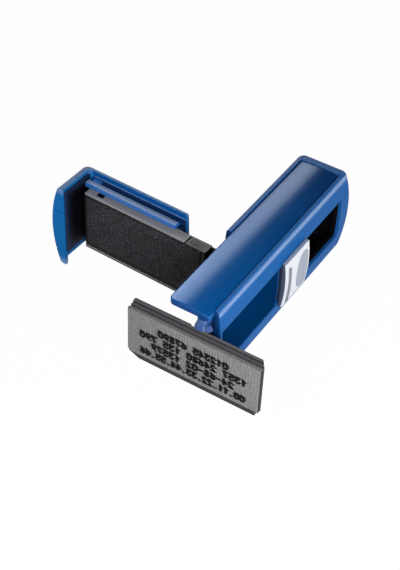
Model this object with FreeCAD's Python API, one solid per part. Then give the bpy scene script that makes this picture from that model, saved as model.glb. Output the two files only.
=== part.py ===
import FreeCAD, Part
import math
import os

V = FreeCAD.Vector

# Pocket stamp, open and ready to print. Millimetres, +Z up, +Y towards the closed rear of the case.
# All pieces are drawn with Y = 0 at the front edge of the covers, and shifted at the end so that the
# origin lies on the underside at half the case's length.

# Case
CASE_L = 71.6            # front edge of the covers to the rear face
CASE_H = 27.8            # underside to top
MID_Z = CASE_H / 2.0
BOW_MID = 8.5            # half width at mid height, where the sides bulge most
BOW_EDGE = 7.58          # half width at the sharp upper and lower edges, before rounding
LEFT_EDGE = 7.85         # the same on the left side
EDGE_ROUND = 1.2
UNDER_ROUND = 2.4        # rounding of the case's lower edges
REAR_BOW = 2.7           # bulge of the rear face at mid height
FLAT_HALF = 6.35         # half width between the side walls
REAR_WALL = 2.6
REAR_ROUND = 2.1
RIGHT_FRONT = 2.2        # front end of the right wall
LEFT_FRONT = 30.5        # front end of the left wall
COVER_T = 1.85
COVER_LEFT = -6.2
COVER_RIGHT = 6.25
SEAM = 0.1               # seam between a cover or panel and its frame

# Side window, its panel and the button: heights are set off from mid height
WIN_DOWN, WIN_UP = 7.0, 6.7
WIN_Y0, WIN_Y1 = 33.3, 67.8
WIN_Z0, WIN_Z1 = MID_Z - WIN_DOWN, MID_Z + WIN_UP
PANEL_DOWN, PANEL_UP = 7.5, 6.6
PANEL_Y0, PANEL_Y1 = 3.4, 32.4
PANEL_Z0, PANEL_Z1 = MID_Z - PANEL_DOWN, MID_Z + PANEL_UP
PANEL_T = 0.7
PANEL_SINK = 0.25
TRACK_SINK = 0.6         # the strip between panel and window is sunk this far
TRAVEL = 20.5            # slide of the button along its window
BTN_Y0, BTN_Y1 = 33.87, 46.6
BTN_DOWN, BTN_UP = 8.3, 7.5
BTN_Z0, BTN_Z1 = MID_Z - BTN_DOWN, MID_Z + BTN_UP
BTN_GAP = 0.15           # cap clear of the side wall
BTN_T = 0.37             # cap's thickness where its face would meet the case's edges
BTN_CROWN = 1.13         # and how much more its face bulges than the side wall
STEM_GAP = 0.4
PLATE_X0, PLATE_X1 = 4.9, 6.15
OVAL_BACK = 3.0          # thumb pad's centre ahead of the cap's rear edge
OVAL_DROP = 0.6          # and below mid height
OVAL_HALF_W, OVAL_HALF_H = 4.0, 6.4
OVAL_RIM = 1.0           # rim left behind the thumb pad, which cuts the oval off
OVAL_PROUD = 0.1
OVAL_SEAT = 0.25
RIB_BACK = 1.2           # front of the upright rib behind the cap's front edge
RIB_W, RIB_PROUD = 1.1, 0.35
RIB_DOWN, RIB_UP = 7.4, 5.3
STOP_X0, STOP_X1 = -3.5, 2.5
STOP_T, STOP_HALF_H = 1.2, 4.0

# Chassis inside the case
CH_T = 1.7               # thickness of its two plates
CH_FRONT = 22.6          # front of the full-width part
CH_WEB = 1.45
CH_ARM_X = 1.4           # left edge of the fork arms
ARM_FRONT = 2.4
GUIDE_T = 1.2
BOSS_R = 2.0
BOSS_RISE = 0.9          # lower boss starts this far above the lower cover
FLARE_R = 2.1            # foot of the flared boss over the die's hinge
FLARE_MID, FLARE_TOP = 1.8, 1.65
FLARE_LEAN = 0.8         # its top stands this far behind its foot
PIN_CAP = 0.7            # boss closed this far over the pin's end
LOBE_R = 1.1             # smaller lobe between the boss and the right wall
LOBE_X, LOBE_Y = 2.0, -0.35
LOBE_DROP = 0.9
PIN_R = 0.9
BORE_GAP = 0.08

# Hinge axes
DIE_AXIS = (4.3, 0.18)
WING_AXIS = (-4.1, 26.6)
WING_TILT = 2.126        # the wing stands open this far past a right angle
WING_FOLD = 90.0 + WING_TILT

# Die
DIE_W = 40.0
DIE_H = 16.0
RUBBER_Y = -3.9
RUBBER_T = 1.0
RELIEF_T = 0.45
CUSHION_T = 0.6
MOUNT_BACK = -0.3
DIE_SHIFT = 0.25         # middle of the die to the left of its hinge
RUBBER_LIFT = 0.55       # the rubber stands on the mount's lower lip
MOUNT_FLARE = 1.1        # how much taller than the rubber the mount is, each way
MOUNT_IN_LEFT, MOUNT_IN_RIGHT = 0.3, 1.75    # the mount's back is narrower by these
LIP_SET = 0.25           # lip's face behind the rubber's
LIP_END = 1.0            # lip's right end inside the die's
MOUNT_STEP = 0.6         # the mount is thinner to the right of its hinge
CUT_W, CUT_H = 3.4, 1.7  # cut corner, low on the left
RUBBER_CUT_W, RUBBER_CUT_H = 1.4, 0.7
BARREL_R = 1.5
FLANGE_LEFT, FLANGE_RIGHT = 2.6, 2.0
FLANGE_END = 2.0         # flange ends this far inside the barrel's ends

# Wing, drawn folded against the case's left side and then turned open about its axis
WING_Y1 = 10.9           # rear end of the long wall
WING_Y0 = -24.3          # front face at its upper and lower edge
NOSE_BOW = 2.5           # bulge of the front face at mid height
NOSE_IN = -22.4          # inner face of the short leg
NOSE_X = 5.4             # free end of the short leg
NOSE_LIP = 1.0
NOSE_ROUND = 2.0
LINER_LOW = 0.6          # dark lining above the short leg's underside
LINER_TOP = 1.1          # and below the case's top
NOSE_CUT = 2.8           # underside of the short leg between its lip and the long wall
GROOVE_LOW, GROOVE_HIGH = 4.8, 8.8   # fine grooves on its free end, from the lower and upper edge
GROOVE_W = 0.3
WALL_IN = -6.4           # inner face of the long wall
RAIL_Y0, RAIL_Y1 = -21.6, 9.3
RAIL_H = 1.5
RAIL_DROP = 0.55         # rail's top below the cover's underside
RAIL_Z1 = CASE_H - COVER_T - RAIL_DROP
RAIL_Z0 = RAIL_Z1 - RAIL_H
RAIL_X1 = -3.3           # free edge of the rail
STRIP_W, SHELF_T = 1.9, 0.7
CLIP_Y0, CLIP_Y1 = -20.2, -17.8
CLIP_X1 = -5.3
CLIP_PROUD = 0.5
TRAY_X0, TRAY_X1 = -4.5, -0.9
TRAY_Y0, TRAY_Y1 = -20.2, 21.0
TRAY_DROP = 0.4          # tray's top below the rail
TRAY_Z1 = RAIL_Z0 - TRAY_DROP
TRAY_Z0 = CASE_H - TRAY_Z1
TRAY_SILL, TRAY_BROW = 1.6, 0.4
TRAY_LIP = 0.3           # lower lip of the tray, proud of its face
PAD_Z0, PAD_Z1 = TRAY_Z0 + TRAY_SILL, TRAY_Z1 - TRAY_BROW
PAD_FACE = -0.7
PAD_DEPTH = 2.6
PAD_GAP = 0.2
ARM_T = 1.6
ARM_LOW, ARM_HIGH = 2.3, 2.9     # arm clear of the chassis's two plates
ARM_Z0, ARM_Z1 = COVER_T + CH_T + ARM_LOW, CASE_H - COVER_T - CH_T - ARM_HIGH
ARM_BARREL_R = 1.9
RING_H = 1.9             # rings of the timing bracket, above and below the wing's barrel
LEAF_R0, LEAF_R1 = 6.0, 7.2
LEAF_W = 4.4
END_PLAY = 0.15


def box(x0, x1, y0, y1, z0, z1):
    """Box between two corners."""
    return Part.makeBox(x1 - x0, y1 - y0, z1 - z0, V(x0, y0, z0))


def post(centre, radius, z0, z1):
    """Upright cylinder on a plan position."""
    return Part.makeCylinder(radius, z1 - z0, V(centre[0], centre[1], z0))


def face_of(edges):
    """Planar face inside a closed run of edges."""
    return Part.Face(Part.Wire(edges))


def line(a, b):
    """Straight edge."""
    return Part.LineSegment(a, b).toShape()


def arc(a, m, b):
    """Circular edge through three points."""
    return Part.Arc(a, m, b).toShape()


def rounded(shape, radius, pick):
    """Shape with the picked edges rounded, or as it was when the kernel declines."""
    edges = [e for e in shape.Edges if pick(e)]
    try:
        result = shape.makeFillet(radius, edges)
    except Exception:
        return shape
    return result if result.isValid() and result.Volume > 0 else shape


def upright(edge):
    """True for an edge parallel to Z."""
    box_ = edge.BoundBox
    return box_.XLength < 1e-4 and box_.YLength < 1e-4


def case_section(y):
    """Outer cross-section of the case on the plane Y = y: flat top and bottom, bowed sides."""
    def pt(x, z):
        return V(x, y, z)
    h = CASE_H
    return face_of([
        line(pt(-LEFT_EDGE, 0), pt(BOW_EDGE, 0)),
        arc(pt(BOW_EDGE, 0), pt(BOW_MID, h / 2), pt(BOW_EDGE, h)),
        line(pt(BOW_EDGE, h), pt(-LEFT_EDGE, h)),
        arc(pt(-LEFT_EDGE, h), pt(-BOW_MID, h / 2), pt(-LEFT_EDGE, 0)),
    ])


def case_bar(y0, y1):
    """Solid bar with the case's section."""
    return case_section(y0).extrude(V(0, y1 - y0, 0))


def bowed(lift, y0, y1, crown=0.0):
    """Solid whose right face is the side wall's bow, lifted outward, and bulging more where asked."""
    z0, z1 = 0, CASE_H
    e = BOW_EDGE + lift
    face = face_of([
        line(V(0, y0, z0), V(e, y0, z0)),
        arc(V(e, y0, z0), V(BOW_MID + lift + crown, y0, MID_Z), V(e, y0, z1)),
        line(V(e, y0, z1), V(0, y0, z1)),
        line(V(0, y0, z1), V(0, y0, z0)),
    ])
    return face.extrude(V(0, y1 - y0, 0))


def skin(lift0, lift1, y0, y1, z0, z1):
    """Bowed plate on the right side, between two lifts."""
    block = box(0, BOW_MID + 4, y0, y1, z0, z1)
    return block.common(bowed(lift1, y0 - 1, y1 + 1)).cut(bowed(lift0, y0 - 2, y1 + 2))


def capped(lift0, lift1, y0, y1, z0, z1):
    """Plate between the side wall's bow and the button's fuller bow, or between two of the latter."""
    block = box(0, BOW_MID + 4, y0, y1, z0, z1)
    inner = bowed(lift0, y0 - 2, y1 + 2, BTN_CROWN if lift0 > BTN_GAP + 1e-6 else 0.0)
    return block.common(bowed(lift1, y0 - 1, y1 + 1, BTN_CROWN)).cut(inner)


def open_wing(shape):
    """Turns a piece drawn folded to where it stands when the wing is open."""
    shape.rotate(V(WING_AXIS[0], WING_AXIS[1], 0), V(0, 0, 1), -WING_FOLD)
    return shape


def plan_round(x0, x1, y0, y1, z0, z1, radii):
    """Upright plate with its four plan corners rounded: radii at x0y0, x1y0, x1y1, x0y1."""
    plate = box(x0, x1, y0, y1, z0, z1)
    corners = [(x0, y0), (x1, y0), (x1, y1), (x0, y1)]
    for (cx, cy), radius in zip(corners, radii):
        plate = rounded(plate, radius, lambda e, cx=cx, cy=cy: upright(e)
                        and abs(e.BoundBox.XMin - cx) < 1e-3 and abs(e.BoundBox.YMin - cy) < 1e-3)
    return plate


# Case body

def housing_shell():
    """Two bowed side walls joined by the rear wall; the left one starts well behind the right one."""
    h = CASE_H
    side = face_of([
        line(V(-12, -1, h), V(-12, -1, 0)),
        line(V(-12, -1, 0), V(-12, CASE_L, 0)),
        arc(V(-12, CASE_L, 0), V(-12, CASE_L + REAR_BOW, MID_Z), V(-12, CASE_L, h)),
        line(V(-12, CASE_L, h), V(-12, -1, h)),
    ]).extrude(V(24, 0, 0))
    band = case_bar(0, CASE_L + REAR_BOW + 1).common(side)
    band = rounded(band, REAR_ROUND, lambda e: e.BoundBox.YMin > CASE_L - 1e-3 and e.BoundBox.ZLength > 5)
    for radius, at_top in ((EDGE_ROUND, True), (UNDER_ROUND, False)):
        band = rounded(band, radius, lambda e, at_top=at_top: e.BoundBox.ZLength < 1e-3
                       and (e.BoundBox.ZMin > MID_Z) == at_top
                       and (e.BoundBox.YLength > 5 or e.BoundBox.YMin > CASE_L - REAR_ROUND - 0.5))
    band = band.cut(box(-FLAT_HALF, FLAT_HALF, -1, CASE_L - REAR_WALL, -1, CASE_H + 1))
    band = band.cut(box(-12, 0, -1, LEFT_FRONT, -1, CASE_H + 1))
    band = band.cut(box(0, 12, -1, RIGHT_FRONT, -1, CASE_H + 1))
    band = rounded(band, 0.8, lambda e: abs(e.BoundBox.YMin - RIGHT_FRONT) < 1e-3
                   and e.BoundBox.YLength < 1e-4 and e.BoundBox.XMax > FLAT_HALF + 0.3)
    band = rounded(band, 0.6, lambda e: abs(e.BoundBox.YMin - LEFT_FRONT) < 1e-3
                   and e.BoundBox.YLength < 1e-4 and e.BoundBox.XMin < -FLAT_HALF - 0.3)
    window = box(FLAT_HALF - 1, 12, WIN_Y0, WIN_Y1, WIN_Z0, WIN_Z1)
    window = rounded(window, 0.9, lambda e: e.BoundBox.YLength < 1e-4 and e.BoundBox.ZLength < 1e-4)
    band = band.cut(window)
    band = band.cut(skin(-TRACK_SINK, 1.0, PANEL_Y1 - 0.5, WIN_Y0 + 1.0, PANEL_Z0, PANEL_Z1))
    return band.cut(skin(-PANEL_SINK - PANEL_T, 1.0, PANEL_Y0, PANEL_Y1, PANEL_Z0, PANEL_Z1))


def side_panel():
    """Plain bowed panel let into the right wall ahead of the window."""
    return skin(-PANEL_SINK - PANEL_T, -PANEL_SINK, PANEL_Y0 + SEAM, PANEL_Y1 - SEAM,
                PANEL_Z0 + SEAM, PANEL_Z1 - SEAM)


def cover(z0, outer_up):
    """Long plate between the side walls, overhanging the open left front."""
    plate = plan_round(COVER_LEFT, COVER_RIGHT, 0, CASE_L - REAR_WALL - SEAM, z0, z0 + COVER_T,
                       (1.7, 0.5, 1.2, 1.2))
    z = z0 + COVER_T if outer_up else z0
    return rounded(plate, 0.3, lambda e: e.BoundBox.ZLength < 1e-4 and abs(e.BoundBox.ZMin - z) < 1e-3)


def chassis():
    """Two plates and a web: carries both hinge pins and guides the slider."""
    top = CASE_H - COVER_T
    x1 = FLAT_HALF - 0.15
    pieces = []
    for z0, z1 in ((COVER_T, COVER_T + CH_T), (top - CH_T, top)):
        main = plan_round(-x1, x1, CH_FRONT, CASE_L - REAR_WALL - 0.2, z0, z1, (2.0, 0.2, 0.5, 0.5))
        arm = box(CH_ARM_X, x1, ARM_FRONT, CH_FRONT + 3, z0, z1)
        pieces += [main, arm]
    pieces.append(box(DIE_AXIS[0] - BOSS_R, DIE_AXIS[0] + BOSS_R - 0.1, DIE_AXIS[1], 3.0,
                      COVER_T + BOSS_RISE, COVER_T + CH_T))
    pieces.append(post(DIE_AXIS, BOSS_R, COVER_T + BOSS_RISE, MID_Z - MOUNT_FLARE - DIE_H / 2.0 - 0.45))
    pieces.append(box(x1 - CH_WEB, x1, ARM_FRONT, WIN_Y0 - 1.6, COVER_T + 0.5, top - 0.5))
    for z0, z1 in ((COVER_T + CH_T - 0.2, COVER_T + CH_T + 1.6), (top - CH_T - 1.6, top - CH_T + 0.2)):
        pieces.append(box(PLATE_X0 - 0.2 - GUIDE_T, PLATE_X0 - 0.2, WIN_Y0 - 1.6,
                          CASE_L - REAR_WALL - 0.2, z0, z1))
    body = pieces[0]
    for piece in pieces[1:]:
        body = body.fuse(piece)
    body = body.removeSplitter()
    for axis in (DIE_AXIS, WING_AXIS):
        body = body.cut(post(axis, PIN_R, 0, CASE_H))
    return body


def hinge_boss():
    """Blue boss over the top of the die's pin: wide at its foot, leaning back, closed on top."""
    z0, z1 = MID_Z + MOUNT_FLARE + DIE_H / 2.0 + 0.45, CASE_H - COVER_T
    rings = []
    for share, radius in ((0.0, FLARE_R), (0.45, FLARE_MID), (1.0, FLARE_TOP)):
        centre = V(DIE_AXIS[0], DIE_AXIS[1] + share * FLARE_LEAN, z0 + share * (z1 - z0))
        rings.append(Part.Wire([Part.Circle(centre, V(0, 0, 1), radius).toShape()]))
    flare = Part.makeLoft(rings, True)
    foot = V(DIE_AXIS[0] + LOBE_X, DIE_AXIS[1] + LOBE_Y, z0)
    lobe = Part.makeCone(LOBE_R, LOBE_R / 2, z1 - LOBE_DROP - z0, foot)
    neck = box(DIE_AXIS[0] - FLARE_TOP, DIE_AXIS[0] + FLARE_TOP, DIE_AXIS[1], ARM_FRONT, z1 - CH_T, z1)
    web = box(DIE_AXIS[0], DIE_AXIS[0] + LOBE_X, DIE_AXIS[1] + LOBE_Y, ARM_FRONT, z0 + 0.4, z1 - LOBE_DROP)
    body = flare.fuse(neck).fuse(lobe).fuse(web).removeSplitter()
    body = body.cut(box(-12, 12, ARM_FRONT, 12, 0, CASE_H))
    body = body.cut(box(FLAT_HALF - END_PLAY, 12, RIGHT_FRONT - END_PLAY, 12, 0, CASE_H))
    return body.cut(post(DIE_AXIS, PIN_R, 0, z1 - PIN_CAP))


def hinge_pin(axis, cap=0.0):
    """Steel pin between the covers, its upper end under a cap where asked."""
    return post(axis, PIN_R, COVER_T, CASE_H - COVER_T - cap)


def liner_plate():
    """Dark plate along the inside of the left wall, seen through the window."""
    return box(-FLAT_HALF, -FLAT_HALF + 0.8, WIN_Y0 - 1.0, CASE_L - REAR_WALL - 0.2,
               COVER_T + CH_T, CASE_H - COVER_T - CH_T)


def rear_stop():
    """Rubber buffer on the rear wall where the slider ends its travel."""
    y1 = CASE_L - REAR_WALL
    pad = box(STOP_X0, STOP_X1, y1 - STOP_T, y1, MID_Z - STOP_HALF_H, MID_Z + STOP_HALF_H)
    return rounded(pad, 0.8, lambda e: e.BoundBox.XLength < 1e-4 and e.BoundBox.ZLength < 1e-4)


# Slider body

def slider_plate():
    """Plate behind the window with a stem that fills the window's height."""
    plate = plan_round(PLATE_X0, PLATE_X1, BTN_Y0 - 0.2, BTN_Y1 + 0.7, COVER_T + CH_T + 0.2,
                       CASE_H - COVER_T - CH_T - 0.2, (0.3, 0.3, 0.3, 0.3))
    stem = box(PLATE_X0 + 0.3, BOW_MID + 2, BTN_Y0 + 0.1, BTN_Y1 - 0.4, WIN_Z0 + STEM_GAP, WIN_Z1 - STEM_GAP)
    stem = stem.common(bowed(BTN_GAP, BTN_Y0 - 1, BTN_Y1 + 1))
    return plate.fuse(stem).removeSplitter()


def oval_tool():
    """Upright oval bar along X, the outline of the thumb pad."""
    ellipse = Part.Ellipse(V(0, 0, 0), OVAL_HALF_H, OVAL_HALF_W)
    bar = Part.Face(Part.Wire([ellipse.toShape()])).extrude(V(0, 0, BOW_MID))
    bar.rotate(V(0, 0, 0), V(0, 1, 0), 90)
    bar.translate(V(BOW_EDGE, BTN_Y1 - OVAL_BACK, MID_Z - OVAL_DROP))
    return bar.common(box(0, BOW_MID + 12, BTN_Y0, BTN_Y1 - OVAL_RIM, 0, CASE_H))


def slide_button():
    """Bowed cap over the window, with a shallow seat for the thumb pad."""
    cap = capped(BTN_GAP, BTN_GAP + BTN_T, BTN_Y0, BTN_Y1, BTN_Z0, BTN_Z1)
    cap = rounded(cap, 0.25, lambda e: e.BoundBox.XMin > BOW_MID + BTN_GAP + 0.3)
    return cap.cut(oval_tool().cut(bowed(BTN_GAP + BTN_T - OVAL_SEAT, BTN_Y0 - 2, BTN_Y1 + 2, BTN_CROWN)))


def thumb_pad():
    """Grey oval inlay."""
    lift = BTN_GAP + BTN_T
    return oval_tool().common(bowed(lift + OVAL_PROUD, BTN_Y0 - 1, BTN_Y1 + 1, BTN_CROWN)).cut(
        bowed(lift - OVAL_SEAT, BTN_Y0 - 2, BTN_Y1 + 2, BTN_CROWN))


def grip_ridge():
    """Grey upright rib near the front of the cap."""
    lift = BTN_GAP + BTN_T
    y0 = BTN_Y0 + RIB_BACK
    rib = capped(lift, lift + RIB_PROUD, y0, y0 + RIB_W, MID_Z - RIB_DOWN, MID_Z + RIB_UP)
    return rounded(rib, 0.12, lambda e: e.BoundBox.XMin > BOW_MID + lift + 0.45)


# Wing body, each piece drawn folded

def wing_shell():
    """L-shaped blue shell: long wall like the case's left side, bulged short leg at its front."""
    y0, y1, h = WING_Y0, WING_Y1, CASE_H
    side = face_of([
        line(V(-12, y1 + 1, -1), V(-12, y0, -1)),
        line(V(-12, y0, -1), V(-12, y0, 0)),
        arc(V(-12, y0, 0), V(-12, y0 - NOSE_BOW, MID_Z), V(-12, y0, h)),
        line(V(-12, y0, h), V(-12, y0, h + 1)),
        line(V(-12, y0, h + 1), V(-12, y1 + 1, h + 1)),
        line(V(-12, y1 + 1, h + 1), V(-12, y1 + 1, -1)),
    ]).extrude(V(12 + NOSE_X, 0, 0))
    shell = case_bar(y0 - NOSE_BOW - 1, y1).common(side)
    shell = rounded(shell, NOSE_ROUND, lambda e: e.BoundBox.XMax < -LEFT_EDGE + 0.05
                    and e.BoundBox.YMax < y0 + 0.1 and e.BoundBox.ZLength > 5)
    shell = rounded(shell, EDGE_ROUND, lambda e: e.BoundBox.ZLength < 1e-3 and e.BoundBox.XMin < NOSE_X - 0.1
                    and e.BoundBox.YMin < y1 - 0.1)
    shell = shell.cut(box(WALL_IN, 12, NOSE_IN, y1 + 2, -1, h + 1))
    shell = shell.cut(box(WALL_IN + 0.6, NOSE_X - NOSE_LIP, y0 - NOSE_BOW - 1, NOSE_IN + 1, -1, NOSE_CUT))
    for z in (GROOVE_LOW, h - GROOVE_HIGH):
        shell = shell.cut(box(NOSE_X - 0.25, NOSE_X + 1, y0 - NOSE_BOW - 1, NOSE_IN + 1, z, z + GROOVE_W))
    shell = shell.cut(box(WALL_IN - 0.25, WALL_IN + 1, NOSE_IN - 0.2, y1 + 1, h - 1.9, h - 1.6))
    shell = rounded(shell, 0.5, lambda e: abs(e.BoundBox.YMin - y1) < 1e-3
                    and e.BoundBox.YLength < 1e-4 and e.BoundBox.XMin < -FLAT_HALF - 0.3)
    return open_wing(shell)


def end_liner():
    """Dark lining on the inner face of the short leg."""
    return open_wing(box(WALL_IN, NOSE_X - 0.4, NOSE_IN, NOSE_IN + 0.6,
                         NOSE_CUT + LINER_LOW, CASE_H - LINER_TOP))


def wing_rail():
    """Shelf above the cartridge with a raised front strip."""
    shelf = box(WALL_IN, RAIL_X1, RAIL_Y0, RAIL_Y1, RAIL_Z0, RAIL_Z0 + SHELF_T)
    strip = box(RAIL_X1 - STRIP_W, RAIL_X1, RAIL_Y0, RAIL_Y1, RAIL_Z0 + SHELF_T / 2, RAIL_Z1)
    body = shelf.fuse(strip).removeSplitter()
    return open_wing(rounded(body, 0.25, lambda e: abs(e.BoundBox.ZMin - RAIL_Z1) < 1e-3
                             and e.BoundBox.ZLength < 1e-4 and e.BoundBox.XMax > RAIL_X1 - 0.01
                             and e.BoundBox.YLength > 5))


def wing_clip():
    """Small snap block where the rail meets the long wall."""
    block = box(WALL_IN, CLIP_X1, CLIP_Y0, CLIP_Y1, RAIL_Z0 + SHELF_T, RAIL_Z1 + CLIP_PROUD)
    return open_wing(rounded(block, 0.4, lambda e: e.BoundBox.XLength < 1e-4 and e.BoundBox.ZLength < 1e-4
                             and e.BoundBox.ZMin > RAIL_Z1))


def hinge_arm():
    """Back plate of the cartridge that runs on to the barrel on the wing's pin."""
    y1 = WING_AXIS[1]
    back = box(WALL_IN, TRAY_X0, RAIL_Y0, WING_Y1 - 0.6, TRAY_Z0, RAIL_Z0)
    arm = box(TRAY_X0 - ARM_T, TRAY_X0, 0, y1, ARM_Z0, ARM_Z1)
    web = box(TRAY_X0 - ARM_T, WING_AXIS[0] + 1.2, TRAY_Y1 + 0.3, y1, ARM_Z0, ARM_Z1)
    low, high = COVER_T + CH_T, CASE_H - COVER_T - CH_T
    barrel = post(WING_AXIS, ARM_BARREL_R, low + RING_H + 2 * END_PLAY, high - RING_H - 2 * END_PLAY)
    body = back.fuse(arm).fuse(web).fuse(barrel).removeSplitter()
    return open_wing(body.cut(post(WING_AXIS, PIN_R + BORE_GAP, 0, CASE_H)))


def timing_bracket():
    """Steel bracket on the wing's pin, two rings joined by an upright leaf: it times the die's fold."""
    low, high = COVER_T + CH_T + END_PLAY, CASE_H - COVER_T - CH_T - END_PLAY
    body = None
    for z0, z1 in ((low, low + RING_H), (high - RING_H, high)):
        tongue = box(0, LEAF_R1, -LEAF_W / 2, LEAF_W / 2, z0, z1)
        tongue.translate(V(WING_AXIS[0], WING_AXIS[1], 0))
        ring = post(WING_AXIS, ARM_BARREL_R + 0.4, z0, z1).fuse(tongue)
        body = ring if body is None else body.fuse(ring)
    leaf = box(LEAF_R0, LEAF_R1, -LEAF_W / 2, LEAF_W / 2, low, high)
    leaf.translate(V(WING_AXIS[0], WING_AXIS[1], 0))
    body = body.fuse(leaf).removeSplitter()
    body = rounded(body, 0.4, lambda e: upright(e) and e.BoundBox.XMin > WING_AXIS[0] + LEAF_R1 - 0.01)
    return body.cut(post(WING_AXIS, PIN_R + BORE_GAP, 0, CASE_H))


def cartridge_tray():
    """Tray for the ink pad, open towards the die."""
    tray = box(TRAY_X0, TRAY_X1, TRAY_Y0, TRAY_Y1, TRAY_Z0, TRAY_Z1)
    tray = rounded(tray, 0.4, lambda e: e.BoundBox.ZLength > 5)
    lip = box(TRAY_X0 + 1.0, TRAY_X1 + TRAY_LIP, TRAY_Y0 + 0.4, TRAY_Y1 - 0.4,
              TRAY_Z0, TRAY_Z0 + TRAY_SILL / 3)
    tray = tray.fuse(lip).removeSplitter()
    tray = tray.cut(box(PAD_FACE - PAD_DEPTH, 2, TRAY_Y0 + 0.6, TRAY_Y1 - 1.2, PAD_Z0, PAD_Z1))
    # slot near the far end and the seam across the top near the hinge
    slot_y = WING_AXIS[1] - 47.6 - WING_AXIS[0]
    tray = tray.cut(box(TRAY_X0 - 1, TRAY_X0 + 1.0, slot_y, slot_y + 2.2, TRAY_Z1 - 0.7, TRAY_Z1 + 1))
    seam_y = WING_AXIS[1] - 16.6 - WING_AXIS[0]
    tray = tray.cut(box(TRAY_X0 - 1, TRAY_X1 + 1, seam_y, seam_y + 0.3, TRAY_Z1 - 0.5, TRAY_Z1 + 1))
    for i in range(3):
        rib_y = seam_y + 1.0 + i * 0.7
        tray = tray.fuse(box(TRAY_X0 + 0.8, TRAY_X0 + 2.6, rib_y, rib_y + 0.35,
                             TRAY_Z1 - 0.2, TRAY_Z1 + 0.15))
    return open_wing(tray.removeSplitter())


def ink_pad():
    """Felt pad, a simple block here."""
    return open_wing(box(PAD_FACE - PAD_DEPTH, PAD_FACE, TRAY_Y0 + 0.6 + PAD_GAP, TRAY_Y1 - 1.2 - PAD_GAP,
                         PAD_Z0 + PAD_GAP, PAD_Z1 - PAD_GAP))


# Die body

def die_sides(grow):
    """Left and right ends of the die, grown by a margin."""
    middle = DIE_AXIS[0] - DIE_SHIFT
    return middle - DIE_W / 2 - grow, middle + DIE_W / 2 + grow


def die_plate(y0, y1, grow, z0, z1, cut, radius):
    """Plate with the die's outline, a rectangle with one cut corner, and its corners rounded."""
    x0, x1 = die_sides(grow)
    points = [V(x0 + cut[0], y0, z0), V(x1, y0, z0), V(x1, y0, z1), V(x0, y0, z1), V(x0, y0, z0 + cut[1])]
    edges = [line(points[i], points[(i + 1) % len(points)]) for i in range(len(points))]
    plate = face_of(edges).extrude(V(0, y1 - y0, 0))
    return rounded(plate, radius, lambda e: e.BoundBox.XLength < 1e-4 and e.BoundBox.ZLength < 1e-4)


def rubber_plate():
    """Rubber with four low raised rows."""
    low, high = MID_Z - DIE_H / 2 + RUBBER_LIFT, MID_Z + DIE_H / 2
    plate = die_plate(RUBBER_Y, RUBBER_Y + RUBBER_T, 0, low, high, (RUBBER_CUT_W, RUBBER_CUT_H), 0.5)
    cx = DIE_AXIS[0]
    for i, half in enumerate((10.6, 16.2, 12.6, 16.0)):
        z = MID_Z + 4.35 - i * 2.9
        plate = plate.fuse(box(cx - half, cx + half, RUBBER_Y - RELIEF_T, RUBBER_Y + 0.3, z - 0.75, z + 0.75))
    return plate.removeSplitter()


def cushion_sheet():
    """Foam sheet between rubber and mount."""
    low, high = MID_Z - DIE_H / 2 + RUBBER_LIFT, MID_Z + DIE_H / 2 - 0.15
    y0 = RUBBER_Y + RUBBER_T
    return die_plate(y0, y0 + CUSHION_T, -0.15, low, high, (RUBBER_CUT_W, RUBBER_CUT_H), 0.4)


def die_mount():
    """Plastic mount, flared taller than the rubber, narrower at its back, with a lip under the rubber."""
    y0, y1 = RUBBER_Y + RUBBER_T + CUSHION_T, MOUNT_BACK
    x0, x1 = die_sides(0)
    zf, zb = DIE_H / 2 + 0.1, DIE_H / 2 + MOUNT_FLARE
    low, high = MID_Z - zb, MID_Z + zb
    profile = [(y0, zf), (y0 + 0.7, zf + 0.1), (y0 + 0.8, zb - 0.3), (y1 - 0.5, zb), (y1, zb - 0.35)]
    pts = [V(x0, y, MID_Z + z) for y, z in profile] + [V(x0, y, MID_Z - z) for y, z in reversed(profile)]
    edges = [line(pts[i], pts[(i + 1) % len(pts)]) for i in range(len(pts))]
    body = face_of(edges).extrude(V(x1 - x0, 0, 0))
    body = body.common(die_plate(y0 - 1, y1 + 1, 0, low, high, (CUT_W, CUT_H), 0.6))
    plan = [V(x0, y0 - 1, 0), V(x1, y0 - 1, 0), V(x1, y0, 0), V(x1 - MOUNT_IN_RIGHT, y1, 0),
            V(x0 + MOUNT_IN_LEFT, y1, 0), V(x0, y0, 0)]
    edges = [line(plan[i], plan[(i + 1) % len(plan)]) for i in range(len(plan))]
    body = body.common(face_of(edges).extrude(V(0, 0, CASE_H)))
    lip = die_plate(RUBBER_Y + LIP_SET, y0 + 0.6, 0, low, high, (CUT_W, CUT_H), 0.6)
    lip = lip.common(box(x0, x1 - LIP_END, -9, 9, 0, MID_Z - DIE_H / 2 + RUBBER_LIFT))
    body = body.fuse(lip).removeSplitter()
    body = body.cut(box(DIE_AXIS[0] - 3.0, x1 + 1, y1 - MOUNT_STEP, y1 + 2, 0, CASE_H))
    return body.cut(die_knuckle())


def die_knuckle():
    """Barrel on the die's pin with a flange against the back of the mount."""
    clear = DIE_H / 2 + MOUNT_FLARE - 0.15
    z0, z1 = MID_Z - clear, MID_Z + clear
    barrel = post(DIE_AXIS, BARREL_R, z0, z1)
    flange = box(DIE_AXIS[0] - FLANGE_LEFT, DIE_AXIS[0] + FLANGE_RIGHT, MOUNT_BACK - MOUNT_STEP - 0.5,
                 DIE_AXIS[1] + 0.1, z0 + FLANGE_END, z1 - FLANGE_END)
    body = barrel.fuse(flange).removeSplitter()
    return body.cut(post(DIE_AXIS, PIN_R + BORE_GAP, 0, CASE_H))


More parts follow.
